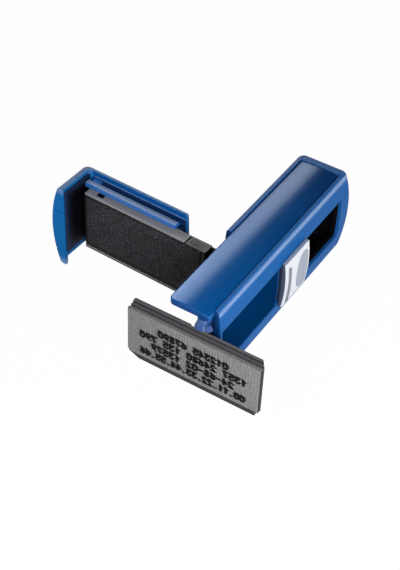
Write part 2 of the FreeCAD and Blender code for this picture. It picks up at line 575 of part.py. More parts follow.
def write(name, shape):
    """Shifts a piece into the part's frame, checks it and writes its file."""
    shape = shape.copy()
    shape.translate(V(0, -CASE_L / 2, 0))
    solids = shape.Solids
    if len(solids) != 1 or not shape.isValid():
        raise RuntimeError("%s: %d solids, valid %s" % (name, len(solids), shape.isValid()))
    solid = solids[0]
    b = solid.BoundBox
    print("%-15s X %7.2f %7.2f  Y %7.2f %7.2f  Z %6.2f %6.2f  %8.1f mm3" % (
        name, b.XMin, b.XMax, b.YMin, b.YMax, b.ZMin, b.ZMax, solid.Volume))
    solid.exportStep("parts/%s.step" % name)


def main():
    """Builds and writes every piece."""
    os.makedirs("parts", exist_ok=True)
    pieces = {
        "housing_shell": housing_shell(),
        "top_cover": cover(CASE_H - COVER_T, True),
        "bottom_cover": cover(0, False),
        "side_panel": side_panel(),
        "chassis": chassis(),
        "hinge_boss": hinge_boss(),
        "liner_plate": liner_plate(),
        "rear_stop": rear_stop(),
        "wing_pin": hinge_pin(WING_AXIS),
        "die_pin": hinge_pin(DIE_AXIS, PIN_CAP),
        "slider_plate": slider_plate(),
        "slide_button": slide_button(),
        "thumb_pad": thumb_pad(),
        "grip_ridge": grip_ridge(),
        "wing_shell": wing_shell(),
        "end_liner": end_liner(),
        "wing_rail": wing_rail(),
        "wing_clip": wing_clip(),
        "hinge_arm": hinge_arm(),
        "timing_bracket": timing_bracket(),
        "cartridge_tray": cartridge_tray(),
        "ink_pad": ink_pad(),
        "die_knuckle": die_knuckle(),
        "die_mount": die_mount(),
        "cushion_sheet": cushion_sheet(),
        "rubber_plate": rubber_plate(),
    }
    for name, shape in pieces.items():
        write(name, shape)


main()
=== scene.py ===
import logging
import math
from dataclasses import dataclass
from enum import Enum
from typing import Any, Callable, Mapping, Sequence

import bmesh
import bpy
import numpy as np
from mathutils import Matrix, Vector


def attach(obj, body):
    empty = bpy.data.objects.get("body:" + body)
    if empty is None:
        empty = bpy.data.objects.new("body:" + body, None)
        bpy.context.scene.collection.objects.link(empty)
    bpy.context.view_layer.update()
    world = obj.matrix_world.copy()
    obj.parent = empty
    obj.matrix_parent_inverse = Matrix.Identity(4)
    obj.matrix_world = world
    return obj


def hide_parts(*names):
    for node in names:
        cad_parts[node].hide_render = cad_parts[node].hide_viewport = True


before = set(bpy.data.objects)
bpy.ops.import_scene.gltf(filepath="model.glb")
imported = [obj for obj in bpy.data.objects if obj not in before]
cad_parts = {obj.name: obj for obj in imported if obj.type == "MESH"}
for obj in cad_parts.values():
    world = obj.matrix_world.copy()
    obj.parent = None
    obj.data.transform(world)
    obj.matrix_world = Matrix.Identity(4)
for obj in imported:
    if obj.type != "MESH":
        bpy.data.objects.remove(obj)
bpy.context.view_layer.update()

log = logging.getLogger("pocket_stamp")

Tree, Socket, Piece = bpy.types.NodeTree, bpy.types.NodeSocket, bpy.types.Object
Array = np.ndarray
Faces = list[list[int]]
Pair = tuple[float, float]
Triple = tuple[float, float, float]
Place = Callable[[Array, Array, Array], Array]
Choice = Callable[[Array, Array], Array]

# Sizes are in millimetres, with Y = 0 at half the case's length and Z = 0 at its underside.
MM = 0.001              # meshes are stored in metres
CASE_HALF_L = 35.8
CASE_H = 27.8
MID_Z = CASE_H / 2.0
BULGE_HALF_W = 8.5      # half width of the case at mid height
BOW_RISE = 0.92         # how much less it has at its upper and lower edge
CREASE = 12.85          # distance from mid height at which the side's bow meets its rounded edge
CAP_LIFT = 0.15         # gap between the side wall and the button's cap
CAP_DEPTH = 1.5         # the cap's thickness at mid height
WING_AXIS = (-4.1, -9.2)
WING_OPEN_DEG = -92.126
DIE_AXIS = (4.3, -35.62)

X, Y, Z = range(3)
SQUARE = 0.9            # least part of a face's normal along an axis that it is square to
NEARLY_SQUARE = 0.75    # the same, with the outer faces of rounded edges
SLOPING = 0.5           # the same, with all faces that lean that way


# Small tools


def linear(hex_code: str) -> tuple[float, float, float, float]:
    """Turns an sRGB hex colour to the linear colour that a socket takes.

    Args:
        hex_code: six hex digits.

    Returns:
        Linear red, green, blue and an alpha of 1.
    """
    srgb = np.array([int(hex_code[i:i + 2], 16) / 255 for i in (0, 2, 4)])
    lin = np.where(srgb <= 0.04045, srgb / 12.92, ((srgb + 0.055) / 1.055) ** 2.4)
    return (*lin.tolist(), 1.0)


def per_mm(size_mm: float) -> float:
    """Scale of a noise whose features are that many millimetres wide."""
    return 1.0 / (size_mm * MM)


def blank_tree(owner: bpy.types.ID) -> Tree:
    """Switches a material or world to nodes and empties its tree."""
    owner.use_nodes = True
    owner.node_tree.nodes.clear()
    return owner.node_tree


def feed(tree: Tree, node: bpy.types.Node, inputs: Mapping[Any, Any]) -> None:
    """Gives a node's sockets their values and links.

    Args:
        tree: the node tree.
        node: the node.
        inputs: socket name or number to a value, a hex colour or the output that feeds it.
    """
    for key, value in inputs.items():
        if isinstance(value, Socket):
            tree.links.new(value, node.inputs[key])
        else:
            node.inputs[key].default_value = linear(value) if isinstance(value, str) else value


def add(tree: Tree, kind: str, inputs: Mapping[Any, Any] | None = None,
        **settings: Any) -> bpy.types.Node:
    """Adds a node with its settings, values and links.

    Args:
        tree: the node tree that takes it.
        kind: Blender's name of the node type, less its first word ShaderNode.
        inputs: as in feed.
        settings: attributes of the node.

    Returns:
        The new node.
    """
    node = tree.nodes.new("ShaderNode" + kind)
    for name, value in settings.items():
        setattr(node, name, value)
    feed(tree, node, inputs or {})
    return node


def noise(tree: Tree, where: Socket, size_mm: float, detail: float, rough: float = 0.5) -> Socket:
    """Noise with features of that width, octaves of detail and share of the finer octaves."""
    return add(tree, "TexNoise", {"Vector": where, "Scale": per_mm(size_mm),
                                  "Detail": detail, "Roughness": rough}).outputs["Fac"]


def span(tree: Tree, value: Socket, source: Pair, target: Pair = (0.0, 1.0)) -> Socket:
    """Carries a value from one range to another and holds it at the ends."""
    ends = dict(zip(("From Min", "From Max", "To Min", "To Max"), (*source, *target)))
    return add(tree, "MapRange", {"Value": value, **ends}).outputs["Result"]


def calc(tree: Tree, operation: str, *values: Socket | float) -> Socket:
    """One operation of a Math node on sockets and numbers."""
    return add(tree, "Math", dict(enumerate(values)), operation=operation).outputs[0]


def mix(tree: Tree, share: Socket, first: Socket | str, second: Socket | str) -> Socket:
    """Mixes two colours, each a socket or a hex colour, by the share of the second."""
    return add(tree, "Mix", {"Factor": share, 6: first, 7: second},
               data_type="RGBA").outputs[2]


def bump(tree: Tree, height: Socket, depth_mm: float, strength: float) -> Socket:
    """Normal of a surface raised by a height."""
    return add(tree, "Bump", {"Height": height, "Distance": depth_mm * MM,
                              "Strength": strength}).outputs["Normal"]


def ramp(tree: Tree, source: Socket, stops: Sequence[tuple[float, Any]]) -> Socket:
    """Runs a value through a colour ramp.

    Args:
        tree: the node tree.
        source: the value.
        stops: position and hex colour, or position and grey level.

    Returns:
        The ramp's colour output.
    """
    node = add(tree, "ValToRGB", {"Fac": source})
    cells = node.color_ramp.elements
    while len(cells) < len(stops):
        cells.new(0.5)
    for cell, (position, tone) in zip(cells, stops):
        cell.position = position
        cell.color = linear(tone) if isinstance(tone, str) else (tone, tone, tone, 1.0)
    return node.outputs["Color"]


def place_object(name: str, data: bpy.types.ID) -> Piece:
    """Makes an object and links it to the scene."""
    made = bpy.data.objects.new(name, data)
    bpy.context.scene.collection.objects.link(made)
    return made


def outward(points: Array, faces: Faces) -> Faces:
    """Turns all faces round when the closed mesh they make has a negative volume.

    Args:
        points: vertices, n by 3.
        faces: vertex numbers of each face, all wound the same way.

    Returns:
        Faces that point outwards.
    """
    tri = np.array([(f[0], f[i], f[i + 1]) for f in faces for i in range(1, len(f) - 1)])
    a, b, c = points[tri[:, 0]], points[tri[:, 1]], points[tri[:, 2]]
    volume = np.einsum("ij,ij->i", a, np.cross(b, c)).sum()
    return [f[::-1] for f in faces] if volume < 0 else faces


def make_piece(name: str, points: Array, faces: Faces,
               sharp_deg: float = 32.0) -> Piece:
    """Makes a mesh object at the origin from millimetre points.

    Args:
        name: the object's name.
        points: vertices in the part's frame, n by 3, in millimetres.
        faces: vertex numbers of each face.
        sharp_deg: edges sharper than this stay hard.

    Returns:
        The object, in the scene.
    """
    mesh = bpy.data.meshes.new(name)
    mesh.from_pydata((points * MM).tolist(), [], outward(points, faces))
    mesh.update()
    mesh.shade_smooth()
    mesh.set_sharp_from_angle(angle=math.radians(sharp_deg))
    return place_object(name, mesh)


def point_values(piece: Piece, name: str, values: Array) -> None:
    """Stores one number for each vertex, under a name that a material reads."""
    attribute = piece.data.attributes.new(name, "FLOAT", "POINT")
    attribute.data.foreach_set("value", values.astype(np.float32))


def grid_faces(rows: int, columns: int, closed: bool = False) -> Array:
    """Quads of a grid of points stored row after row.

    Args:
        rows: number of rows.
        columns: points in a row.
        closed: true when the last column joins the first.

    Returns:
        Vertex numbers, one quad a line.
    """
    i, j = np.meshgrid(np.arange(rows - 1), np.arange(columns if closed else columns - 1),
                       indexing="ij")
    k, low, high = (j + 1) % columns, i * columns, (i + 1) * columns
    return np.stack([low + j, low + k, high + k, high + j], -1).reshape(-1, 4)


def tube_faces(rings: int, n: int) -> Faces:
    """Faces of rings of n points, stored one after the other: quads, and one face at each end."""
    last = (rings - 1) * n
    ends = [list(range(n))[::-1], list(range(last, last + n))]
    return grid_faces(rings, n, closed=True).tolist() + ends


def flat_place(u: Array, v: Array, d: Array) -> Array:
    """Plan outline, depth upwards."""
    return np.stack([u, v, d], -1)


def front_place(u: Array, v: Array, d: Array) -> Array:
    """Outline seen from the front, depth along Y."""
    return np.stack([u, d, v], -1)


def side_place(u: Array, v: Array, d: Array) -> Array:
    """Outline seen from the side: u along Y, v upwards, depth along X."""
    return np.stack([d, u, v], -1)


def side_bow(z: Array) -> Array:
    """Half width of the case at height z: a circle through both edges and the bulge."""
    radius = (MID_Z * MID_Z + BOW_RISE * BOW_RISE) / (2 * BOW_RISE)
    return BULGE_HALF_W - radius + np.sqrt(radius * radius - (z - MID_Z) ** 2)


def bow_place(u: Array, v: Array, d: Array) -> Array:
    """Outline on the case's bowed right side, with the depth outward from the wall's face."""
    return side_place(u, v, side_bow(v) + d)


def cap_thickness(z: Array) -> Array:
    """Thickness of the button's cap: 0.37 at the case's edges and 1.13 more at mid height."""
    return 0.37 + 1.13 * (1 - ((z - MID_Z) / MID_Z) ** 2)


def cap_place(u: Array, v: Array, d: Array) -> Array:
    """Outline on the button, with depth 0 at its back and CAP_DEPTH on its own fuller bow."""
    return side_place(u, v, side_bow(v) + CAP_LIFT + d / CAP_DEPTH * cap_thickness(v))


def opened(points: Array) -> Array:
    """Turns wing points, drawn folded against the case, open about the wing's pin.

    Args:
        points: n by 3, in millimetres.

    Returns:
        The same points where the open wing has them.
    """
    a = math.radians(WING_OPEN_DEG)
    x, y = points[:, 0] - WING_AXIS[0], points[:, 1] - WING_AXIS[1]
    return np.stack([WING_AXIS[0] + x * math.cos(a) - y * math.sin(a),
                     WING_AXIS[1] + x * math.sin(a) + y * math.cos(a), points[:, 2]], -1)


@dataclass(frozen=True)
class Outline:
    """Convex polygon with rounded corners, counter-clockwise, that can be drawn at any inset."""

    corners: tuple[Pair, ...]  # its corners in millimetres
    radii: tuple[float, ...]  # the rounding of each corner
    spacing: float = 1.5  # longest step along a straight side
    arc_steps: int = 6  # steps round a corner

    @classmethod
    def rectangle(cls, u: Pair, v: Pair, radii: Sequence[float] | float,
                  spacing: float = 1.5) -> "Outline":
        """Rectangle whose radii are those of its corners at u0v0, u1v0, u1v1 and u0v1."""
        four = (radii,) * 4 if isinstance(radii, (int, float)) else tuple(radii)
        return cls(((u[0], v[0]), (u[1], v[0]), (u[1], v[1]), (u[0], v[1])), four, spacing)

    def ring(self, inset: float) -> Array:
        """Points of the outline moved inwards.

        Each side moves in by the inset, the corners are where moved sides meet, and each is
        rounded by an arc of its radius less the inset. The number of points never changes.

        Args:
            inset: how far in, in millimetres.

        Returns:
            Points, n by 2.
        """
        p = np.array(self.corners, float)
        edge = np.roll(p, -1, 0) - p
        length = np.linalg.norm(edge, axis=1)
        t = edge / length[:, None]
        inner = np.stack([-t[:, 1], t[:, 0]], 1)
        t_in, inner_in = np.roll(t, 1, 0), np.roll(inner, 1, 0)
        q = p + inset * (inner + inner_in) / (1 + (inner * inner_in).sum(1))[:, None]
        radius = np.maximum(np.array(self.radii) - inset, 0.01)
        turn = np.arctan2(t_in[:, 0] * t[:, 1] - t_in[:, 1] * t[:, 0], (t_in * t).sum(1))
        reach = radius * np.tan(turn / 2)
        centre = q - t_in * reach[:, None] + inner_in * radius[:, None]
        a = np.linspace(0, 1, self.arc_steps + 1)[None, :] * turn[:, None]
        rx, ry = -inner_in[:, :1] * radius[:, None], -inner_in[:, 1:] * radius[:, None]
        arcs = centre[:, None, :] + np.stack([rx * np.cos(a) - ry * np.sin(a),
                                              rx * np.sin(a) + ry * np.cos(a)], -1)
        runs = []
        for i in range(len(p)):
            steps = max(1, round(length[i] / self.spacing))
            s = np.linspace(0, 1, steps + 1)[1:-1, None]
            start, end = arcs[i, -1], arcs[(i + 1) % len(p), 0]
            runs += [arcs[i], start + (end - start) * s]
        return np.concatenate(runs)


def round_levels(depth: Pair, back: float, front: float, inner: float = 0.4,
                 steps: int = 4) -> list[Pair]:
    """Levels of a plate with rounded rims, from the middle of its back to that of its front.

    Each rim is a quarter circle, and a short flat ring inside it keeps the large face flat.

    Args:
        depth: depth of the back and of the front.
        back: rounding of the back's rim.
        front: rounding of the front's rim.
        inner: width of the flat ring.
        steps: steps round a rim.

    Returns:
        Inset and depth of each ring.
    """
    a = np.linspace(0, math.pi / 2, steps + 1)
    low = [(back * (1 - math.sin(x)), depth[0] + back * (1 - math.cos(x))) for x in a]
    high = [(front * (1 - math.cos(x)), depth[1] - front * (1 - math.sin(x))) for x in a]
    return [(back + inner, depth[0]), *low, *high, (front + inner, depth[1])]


def slab(name: str, outline: Outline, levels: Sequence[Pair], place: Place,
         move: Callable[[Array], Array] | None = None,
         sharp_deg: float = 32.0) -> Piece:
    """Plate made of rings of one outline, closed by a face at each end.

    Args:
        name: the object's name.
        outline: the outline.
        levels: inset and depth of each ring.
        place: puts outline and depth into the part's frame.
        move: a last change to the points, such as opening the wing.
        sharp_deg: edges sharper than this stay hard.

    Returns:
        The object.
    """
    rings = [outline.ring(inset) for inset, _ in levels]
    n = len(rings[0])
    u, v = np.concatenate(rings).T
    points = place(u, v, np.repeat([d for _, d in levels], n))
    if move is not None:
        points = move(points)
    return make_piece(name, points, tube_faces(len(levels), n), sharp_deg)


def lathe(name: str, axis: Pair, profile: Sequence[Pair], steps: int = 48) -> Piece:
    """Round piece: a profile turned about an upright axis, closed at both ends.

    Args:
        name: the object's name.
        axis: plan position of the axis.
        profile: radius and height of each ring, from the bottom up.
        steps: points round a ring.

    Returns:
        The object.
    """
    a = np.arange(steps) / steps * 2 * math.pi
    r, z = np.array(profile, float).T
    x = axis[0] + r[:, None] * np.cos(a)[None, :]
    y = axis[1] + r[:, None] * np.sin(a)[None, :]
    points = np.stack([x, y, np.repeat(z[:, None], steps, 1)], -1).reshape(-1, 3)
    return make_piece(name, points, tube_faces(len(r), steps))


# Finishes


@dataclass(frozen=True)
class Finish:
    """A material: what the surface is made of and how it was made."""

    label: str  # its name
    colour: str  # main sRGB hex colour
    slot: str  # the record's material slot that it belongs to

    def material(self) -> bpy.types.Material:
        """Makes the material the first time, and returns it each time after."""
        known = bpy.data.materials.get(self.label)
        if known is not None:
            return known
        made = bpy.data.materials.new(self.label)
        tree = blank_tree(made)
        shader = add(tree, "BsdfPrincipled")
        add(tree, "OutputMaterial", {"Surface": shader.outputs["BSDF"]})
        where = add(tree, "TexCoord").outputs["Object"]
        feed(tree, shader, self.look(tree, where))
        return made

    def look(self, tree: Tree, where: Socket) -> dict[str, Any]:
        """Makes the pattern's nodes.

        Args:
            tree: the material's nodes.
            where: Object coordinates.

        Returns:
            What goes into each socket of the Principled node.
        """
        raise NotImplementedError

    def put_on(self, piece: Piece) -> Piece:
        """Gives a piece this finish."""
        piece.data.materials.clear()
        piece.data.materials.append(self.material())
        return piece


@dataclass(frozen=True)
class MouldedPlastic(Finish):
    """ABS moulded in a spark-eroded tool: an even grain breaks the highlight into fine specks."""

    fleck: str  # lighter colour of the grain's tips
    roughness: float = 0.4  # mean roughness
    # grain width. The real one is under 0.1 mm, drawn coarser so that it shows
    grain_mm: float = 0.3
    depth_mm: float = 0.12  # height of the bump
    cloud: float = 0.25  # how much the tone wanders over the piece
    # specular level, below a polished plastic's 0.5 because the grain traps the gloss
    level: float = 0.35
    # strength of the gloss that handling has rubbed on to the upper and lower edges
    edge: float = 0.0
    tips: float = 0.42  # share of the fleck colour on the grain's tips
    rim: str = ""  # colour of the points whose own "rim" attribute is 1, or none
    # distance from mid height of a painted highlight, a line where the grain's tips are lightened,
    # or 0
    highlight_off: float = 0.0
    highlight_colour: str = "8FB4E6"  # colour of that line

    def look(self, tree: Tree, where: Socket) -> dict[str, Any]:
        """Grain drives colour, roughness and bump together; a broad noise clouds the tone."""
        grain = noise(tree, where, self.grain_mm, 3.0, 0.6)
        tips = ramp(tree, grain, [(0.42, 0.0), (0.70, 1.0)])
        tone = calc(tree, "MULTIPLY", noise(tree, where, 14.0, 2.0), self.cloud)
        amount = calc(tree, "MULTIPLY_ADD", tips, self.tips, tone)
        colour = mix(tree, amount, self.colour, self.fleck)
        swing = (self.roughness - 0.07, self.roughness + 0.07)
        sockets = {"Roughness": span(tree, grain, (0.3, 0.7), swing), "IOR": 1.53,
                   "Normal": bump(tree, grain, self.depth_mm, 0.35),
                   "Specular IOR Level": self.level}
        if self.highlight_off or self.edge:
            height = add(tree, "SeparateXYZ", {0: where}).outputs["Z"]
            off = calc(tree, "ABSOLUTE", calc(tree, "SUBTRACT", height, MID_Z * MM))
        # painted highlight: the grain's tips lightened in a band along the side's crease, in place
        # of a grazing glint
        if self.highlight_off:
            band = span(tree, off, ((self.highlight_off - 0.9) * MM, (self.highlight_off + 0.7) * MM))
            line = ramp(tree, band, [(0.0, 0.0), (0.5, 1.0), (0.62, 1.0), (1.0, 0.0)])
            glint_share = ramp(tree, grain, [(0.34, 0.3), (0.62, 0.9)])
            colour = mix(tree, calc(tree, "MULTIPLY", glint_share, line), colour, self.highlight_colour)
        if self.rim:
            near = add(tree, "Attribute", attribute_name="rim").outputs["Fac"]
            colour = mix(tree, near, colour, self.rim)
        if self.edge:
            last_mm = ((MID_Z - 2.6) * MM, (MID_Z - 0.9) * MM)
            sockets |= {"Coat Weight": span(tree, off, last_mm, (0.0, self.edge)),
                        "Coat Normal": bump(tree, grain, self.depth_mm, 0.75),
                        "Coat Roughness": 0.3, "Coat IOR": 1.8}
        return {"Base Color": colour, **sockets}


@dataclass(frozen=True)
class PolishedPlastic(Finish):
    """ABS moulded in a polished tool: a deep, slightly blue gloss with a faint orange peel, and
    painted shade that darkens it towards the rear.
    """

    deep: str  # darker colour of the painted shade towards the rear, also reached in broad random patches
    roughness: float  # mean roughness
    level: float  # specular level
    tint: str = "AED0FF"  # colour of the gloss
    dust: str = "9FB4D8"  # colour of its few specks of dust

    def look(self, tree: Tree, where: Socket) -> dict[str, Any]:
        """Fine noise gives the peel, a high threshold of another noise the dust."""
        broad, peel = noise(tree, where, 22.0, 2.0), noise(tree, where, 0.4, 3.0)
        specks = ramp(tree, noise(tree, where, 0.5, 2.0), [(0.72, 0.0), (0.78, 1.0)])
        # painted shade: the base mixes towards the darker colour from front to rear along Y
        along = add(tree, "SeparateXYZ", {0: where}).outputs["Y"]
        rear = span(tree, along, (-CASE_HALF_L * MM, CASE_HALF_L * MM), (-0.15, 0.75))
        share = calc(tree, "MULTIPLY_ADD", broad, 0.4, rear)
        base = ramp(tree, share, [(0.0, self.colour), (1.0, self.deep)])
        swing = (self.roughness - 0.03, self.roughness + 0.03)
        return {"Base Color": mix(tree, calc(tree, "MULTIPLY", specks, 0.08), base, self.dust),
                "Roughness": span(tree, peel, (0.3, 0.7), swing), "IOR": 1.54,
                "Normal": bump(tree, peel, 0.03, 0.2),
                "Specular IOR Level": self.level, "Specular Tint": self.tint}


@dataclass(frozen=True)
class InkedFelt(Finish):
    """Needled wool felt soaked with black ink."""

    tip: str = "77767E"  # colour of the fibre tips
    fibre_mm: float = 0.34  # width of a tuft

    def look(self, tree: Tree, where: Socket) -> dict[str, Any]:
        """Two noises, one of fibre tips and one of damp patches."""
        fibre = noise(tree, where, self.fibre_mm, 5.0, 0.72)
        tips = ramp(tree, fibre, [(0.50, 0.0), (0.72, 1.0)])
        damp = span(tree, noise(tree, where, 5.0, 3.0), (0.3, 0.7), (0.45, 1.0))
        return {"Base Color": mix(tree, calc(tree, "MULTIPLY", tips, damp), self.colour, self.tip),
                "Normal": bump(tree, fibre, 0.25, 0.7), "Roughness": 0.85,
                "Specular IOR Level": 0.1, "Sheen Weight": 0.12, "Sheen Roughness": 0.5}


@dataclass(frozen=True)
class EngravedRubber(Finish):
    """Laser-engraved stamp rubber: ground by the beam in crossing lines, inked on its digits."""

    light: str  # colour of the lines' crests
    ink: str = "08080A"  # colour of the inked faces
    # distance of the lines. The real 0.05 mm is drawn coarser so that it shows
    line_mm: float = 0.42

    def bands(self, tree: Tree, where: Socket, axis: str, line_mm: float, bend: float) -> Socket:
        """Pattern of bent lines.

        Args:
            tree: the material's nodes.
            where: Object coordinates.
            axis: the axis that they cross.
            line_mm: their distance.
            bend: how far they wander.

        Returns:
            Its height.
        """
        scale = per_mm(line_mm) / 6.2832      # a wave's scale counts radians
        return add(tree, "TexWave", {"Vector": where, "Scale": scale, "Detail": 2.0,
                                     "Distortion": bend, "Detail Scale": 3.0},
                   bands_direction=axis).outputs["Fac"]

    def look(self, tree: Tree, where: Socket) -> dict[str, Any]:
        """Two line patterns and a grit give the ground, the mesh's own "ink" the digits."""
        rows = self.bands(tree, where, "Z", self.line_mm * 0.8, 3.0)
        columns = self.bands(tree, where, "X", self.line_mm, 2.5)
        grit = noise(tree, where, 0.35, 4.0, 0.65)
        ground = calc(tree, "MULTIPLY_ADD", calc(tree, "ADD", rows, columns), 0.14, grit)
        tone = ramp(tree, ground, [(0.46, self.colour), (0.82, self.light)])
        printed = add(tree, "Attribute", attribute_name="ink").outputs["Fac"]
        inked = ramp(tree, printed, [(0.6, 0.0), (0.88, 1.0)])
        return {"Base Color": mix(tree, inked, tone, self.ink), "Roughness": 0.7,
                "Normal": bump(tree, ground, 0.12, 0.5), "Specular IOR Level": 0.08}


@dataclass(frozen=True)
class GroundSteel(Finish):
    """Ground spring steel, with fine marks round the pin."""

    bright: str = "D2D5D9"  # colour of the marks' crests

    def look(self, tree: Tree, where: Socket) -> dict[str, Any]:
        """Noise stretched along the plan gives rings of grinding marks up the pin."""
        flat = add(tree, "Mapping", {"Vector": where, "Scale": (0.08, 0.08, 1.0)})
        marks = noise(tree, flat.outputs["Vector"], 0.25, 4.0)
        return {"Base Color": ramp(tree, marks, [(0.3, self.colour), (0.7, self.bright)]),
                "Roughness": span(tree, marks, (0.3, 0.7), (0.22, 0.4)), "Metallic": 1.0}


@dataclass(frozen=True)
class ClosedFoam(Finish):
    """Closed-cell foam: small round cells cut open at the rim."""

    floor: str = "3A383A"  # colour of the cells' floors
    cell_mm: float = 0.35  # width of a cell

    def look(self, tree: Tree, where: Socket) -> dict[str, Any]:
        """Cell walls are light and cell floors dark."""
        cells = add(tree, "TexVoronoi", {"Vector": where, "Scale": per_mm(self.cell_mm)})
        wall = cells.outputs["Distance"]
        return {"Base Color": ramp(tree, wall, [(0.15, self.floor), (0.6, self.colour)]),
                "Normal": bump(tree, wall, 0.08, 0.6), "Roughness": 0.8}


# Each comment says what the finish gives the eye.

# Case
# fine specks on a deep blue, a painted highlight line along the side's crease and a shine along the
# long edges
SATIN_BLUE = MouldedPlastic(
    "satin blue ABS, spark-eroded grain", "03529A", "satin_blue", "3A80C8", 0.5, level=0.03,
    edge=0.6, tips=0.5, highlight_off=CREASE)
# painted shade: one tone darker on the walls' front-facing faces, so that the opening reads as cut
SHADE_BLUE = MouldedPlastic(
    "satin blue ABS, painted shade on front ends", "022E60", "satin_blue", "1B4A80", 0.5, level=0.03)
# mottled dark blue with sharp glints on its small folds
BOSS_BLUE = MouldedPlastic(
    "smooth blue ABS of the hinge", "073272", "satin_blue", "34609C", 0.24, level=0.6, cloud=0.5)
# deep gloss that carries the softbox as a light band, with painted shade that darkens it to the
# rear
GLOSS_BLUE = PolishedPlastic("polished deep blue ABS", "0459A2", "gloss_blue", "05366F", 0.15, 0.56)
# painted shade: a darker mid blue on the cover's front edge, below the light band
COVER_FRONT_SHADE = PolishedPlastic(
    "polished deep blue ABS, painted shade on front edge", "023D7C", "gloss_blue", "023068", 0.25, 0.2)
# even dull navy field without a highlight
PANEL_BLUE = PolishedPlastic(
    "smooth navy printed panel", "02315F", "panel_blue", "022850", 0.45, 0.0)
# painted highlight: a thin light outline on the panel's rim, parting it from the wall
PANEL_RIM_HIGHLIGHT = MouldedPlastic("rim of the panel, painted highlight", "3F79B8", "panel_blue", "6C9CD0", level=0.3)
# black without detail, for the chassis and plates, and for sheets of painted shade in the openings
# and cuts
BLACK_ABS = MouldedPlastic(
    "black ABS, matt", "08080A", "dark_plastic", "1A1B20", 0.55, cloud=0.1, level=0.06)
# dull block at the window's end
BUFFER = MouldedPlastic("black moulded rubber", "202124", "black_rubber", "34363A", 0.7, level=0.1)
# bright thin line of a pin
STEEL = GroundSteel("ground spring steel", "B4B7BC", "steel")

# Slider
# clean satin white, the brightest place of the stamp
BUTTON_WHITE = MouldedPlastic(
    "white ABS of the button, satin", "E6EAF1", "white_plastic", "F2F4F8", grain_mm=0.25,
    depth_mm=0.06, level=0.2)
# painted shade: grey-blue on the cap's upward faces along its upper edge
BUTTON_TOP_SHADE = MouldedPlastic(
    "white ABS of the button, painted shade on top", "A4B2C8", "white_plastic", "B8C4D6", level=0.2)
# mid slate front that sets the white cap off
FLANK_SLATE = MouldedPlastic(
    "slate ABS of the button's base", "434B60", "dark_plastic", "6A7288", 0.5, level=0.2)
# dark blue-grey step below the cap
STEM_SLATE = MouldedPlastic(
    "slate ABS of the button's stem", "1E2740", "dark_plastic", "343E58", 0.5)
# mid grey rib without a shine
RIB_GREY = MouldedPlastic(
    "grey soft-touch rib", "848A97", "grey_plastic", "989EAA", 0.6, grain_mm=0.25, level=0.1)
# pale grey oval without a shine
SOFT_GREY = MouldedPlastic(
    "grey soft-touch inlay", "A7AEBC", "grey_plastic", "BAC0CE", 0.6, grain_mm=0.25, level=0.1)

# Wing
# brighter and smoother than the case, with a soft shine on its long edges
WING_BLUE = MouldedPlastic(
    "satin blue ABS of the wing", "0667AC", "wing_blue", "2078BC", 0.45, 0.22, cloud=0.15,
    level=0.03, edge=1.0, tips=0.25)
# painted shade: a deeper blue on the wall's inner face behind the rail
WING_INNER_SHADE = MouldedPlastic(
    "satin blue ABS, painted shade on wing's inner side", "054C92", "wing_blue", "1B62AA", 0.45, 0.22, cloud=0.15,
    level=0.03, tips=0.25)
# painted shade: dark navy in the groove that parts rail and wall
CHANNEL_SHADE = MouldedPlastic(
    "foot of the wing's wall, painted shade", "0D2A58", "wing_blue", "1D3E70", 0.5, 0.25, cloud=0.15,
    level=0.03)
# glossy strip that catches the lamp above the cartridge
RAIL_BLUE = MouldedPlastic(
    "smooth blue ABS of the rail", "1763B4", "wing_blue", "4E8ACD", 0.3, 0.25, cloud=0.15,
    level=0.8, tips=0.3)
# painted highlight: a pale line along the rail's top and the wall's ledge
RAIL_TOP_HIGHLIGHT = MouldedPlastic(
    "blue ABS of the rail's top, painted highlight", "7E9CCC", "wing_blue", "B4C8EA", 0.36, cloud=0.15,
    level=0.5, tips=0.5)
# near black with a blue cast, behind the cartridge
NAVY_BACK = MouldedPlastic(
    "navy ABS of the back plate", "0F2342", "dark_plastic", "1D3258", 0.5, level=0.05)
# black sheet that lifts to navy at its outline, as light creeps round the leg
LINING = MouldedPlastic(
    "black ABS of the lining, navy at its rim", "060609", "dark_plastic", "14141C", 0.5, cloud=0.1,
    level=0.05, rim="22304F")
# soft black of the cartridge's sides
TRAY_BLACK = MouldedPlastic(
    "black ABS of the cartridge, matt sides", "1C1C1E", "tray_black", "343436", 0.5, 0.25,
    cloud=0.2, level=0.08)
# painted highlight: a grey top, the lightest part of the cartridge, in place of the lamp's
# reflection
TRAY_TOP_HIGHLIGHT = MouldedPlastic(
    "cartridge's upper rim, painted highlight", "88878A", "tray_black", "BEBDBE", 0.36, 0.25,
    cloud=0.2, level=0.6)
# painted highlight, weaker: a darker grey on the upward faces of the cartridge's free end
TRAY_END_HIGHLIGHT = MouldedPlastic(
    "black ABS of the cartridge, painted highlight on its end", "4E4F51", "tray_black", "68686A", 0.36, 0.25,
    cloud=0.2, level=0.6)
# painted highlight: a thin light line on the lower lip's upward faces, below the felt
TRAY_LIP_HIGHLIGHT = MouldedPlastic("lower lip of the cartridge, painted highlight", "C2C2C2", "tray_black", "DADADA")
# charcoal ground with lighter fibre tips, and no shine
FELT = InkedFelt("inked wool felt", "121116", "ink_felt")

# Die
# uneven dark frame behind the rubber
MOUNT_GREY = MouldedPlastic(
    "dark grey ABS of the mount", "2B2A2E", "mount_grey", "454449", 0.5, cloud=0.3, level=0.08)
# painted highlight: the mount's upward faces lighter than its sides
MOUNT_TOP_HIGHLIGHT = MouldedPlastic(
    "grey ABS of the mount, painted highlight on top", "4B494C", "mount_grey", "6C6A6E", 0.46, cloud=0.4,
    level=0.3)
# brown-grey band of small cells
FOAM = ClosedFoam("closed-cell foam sheet", "5A5759", "foam")
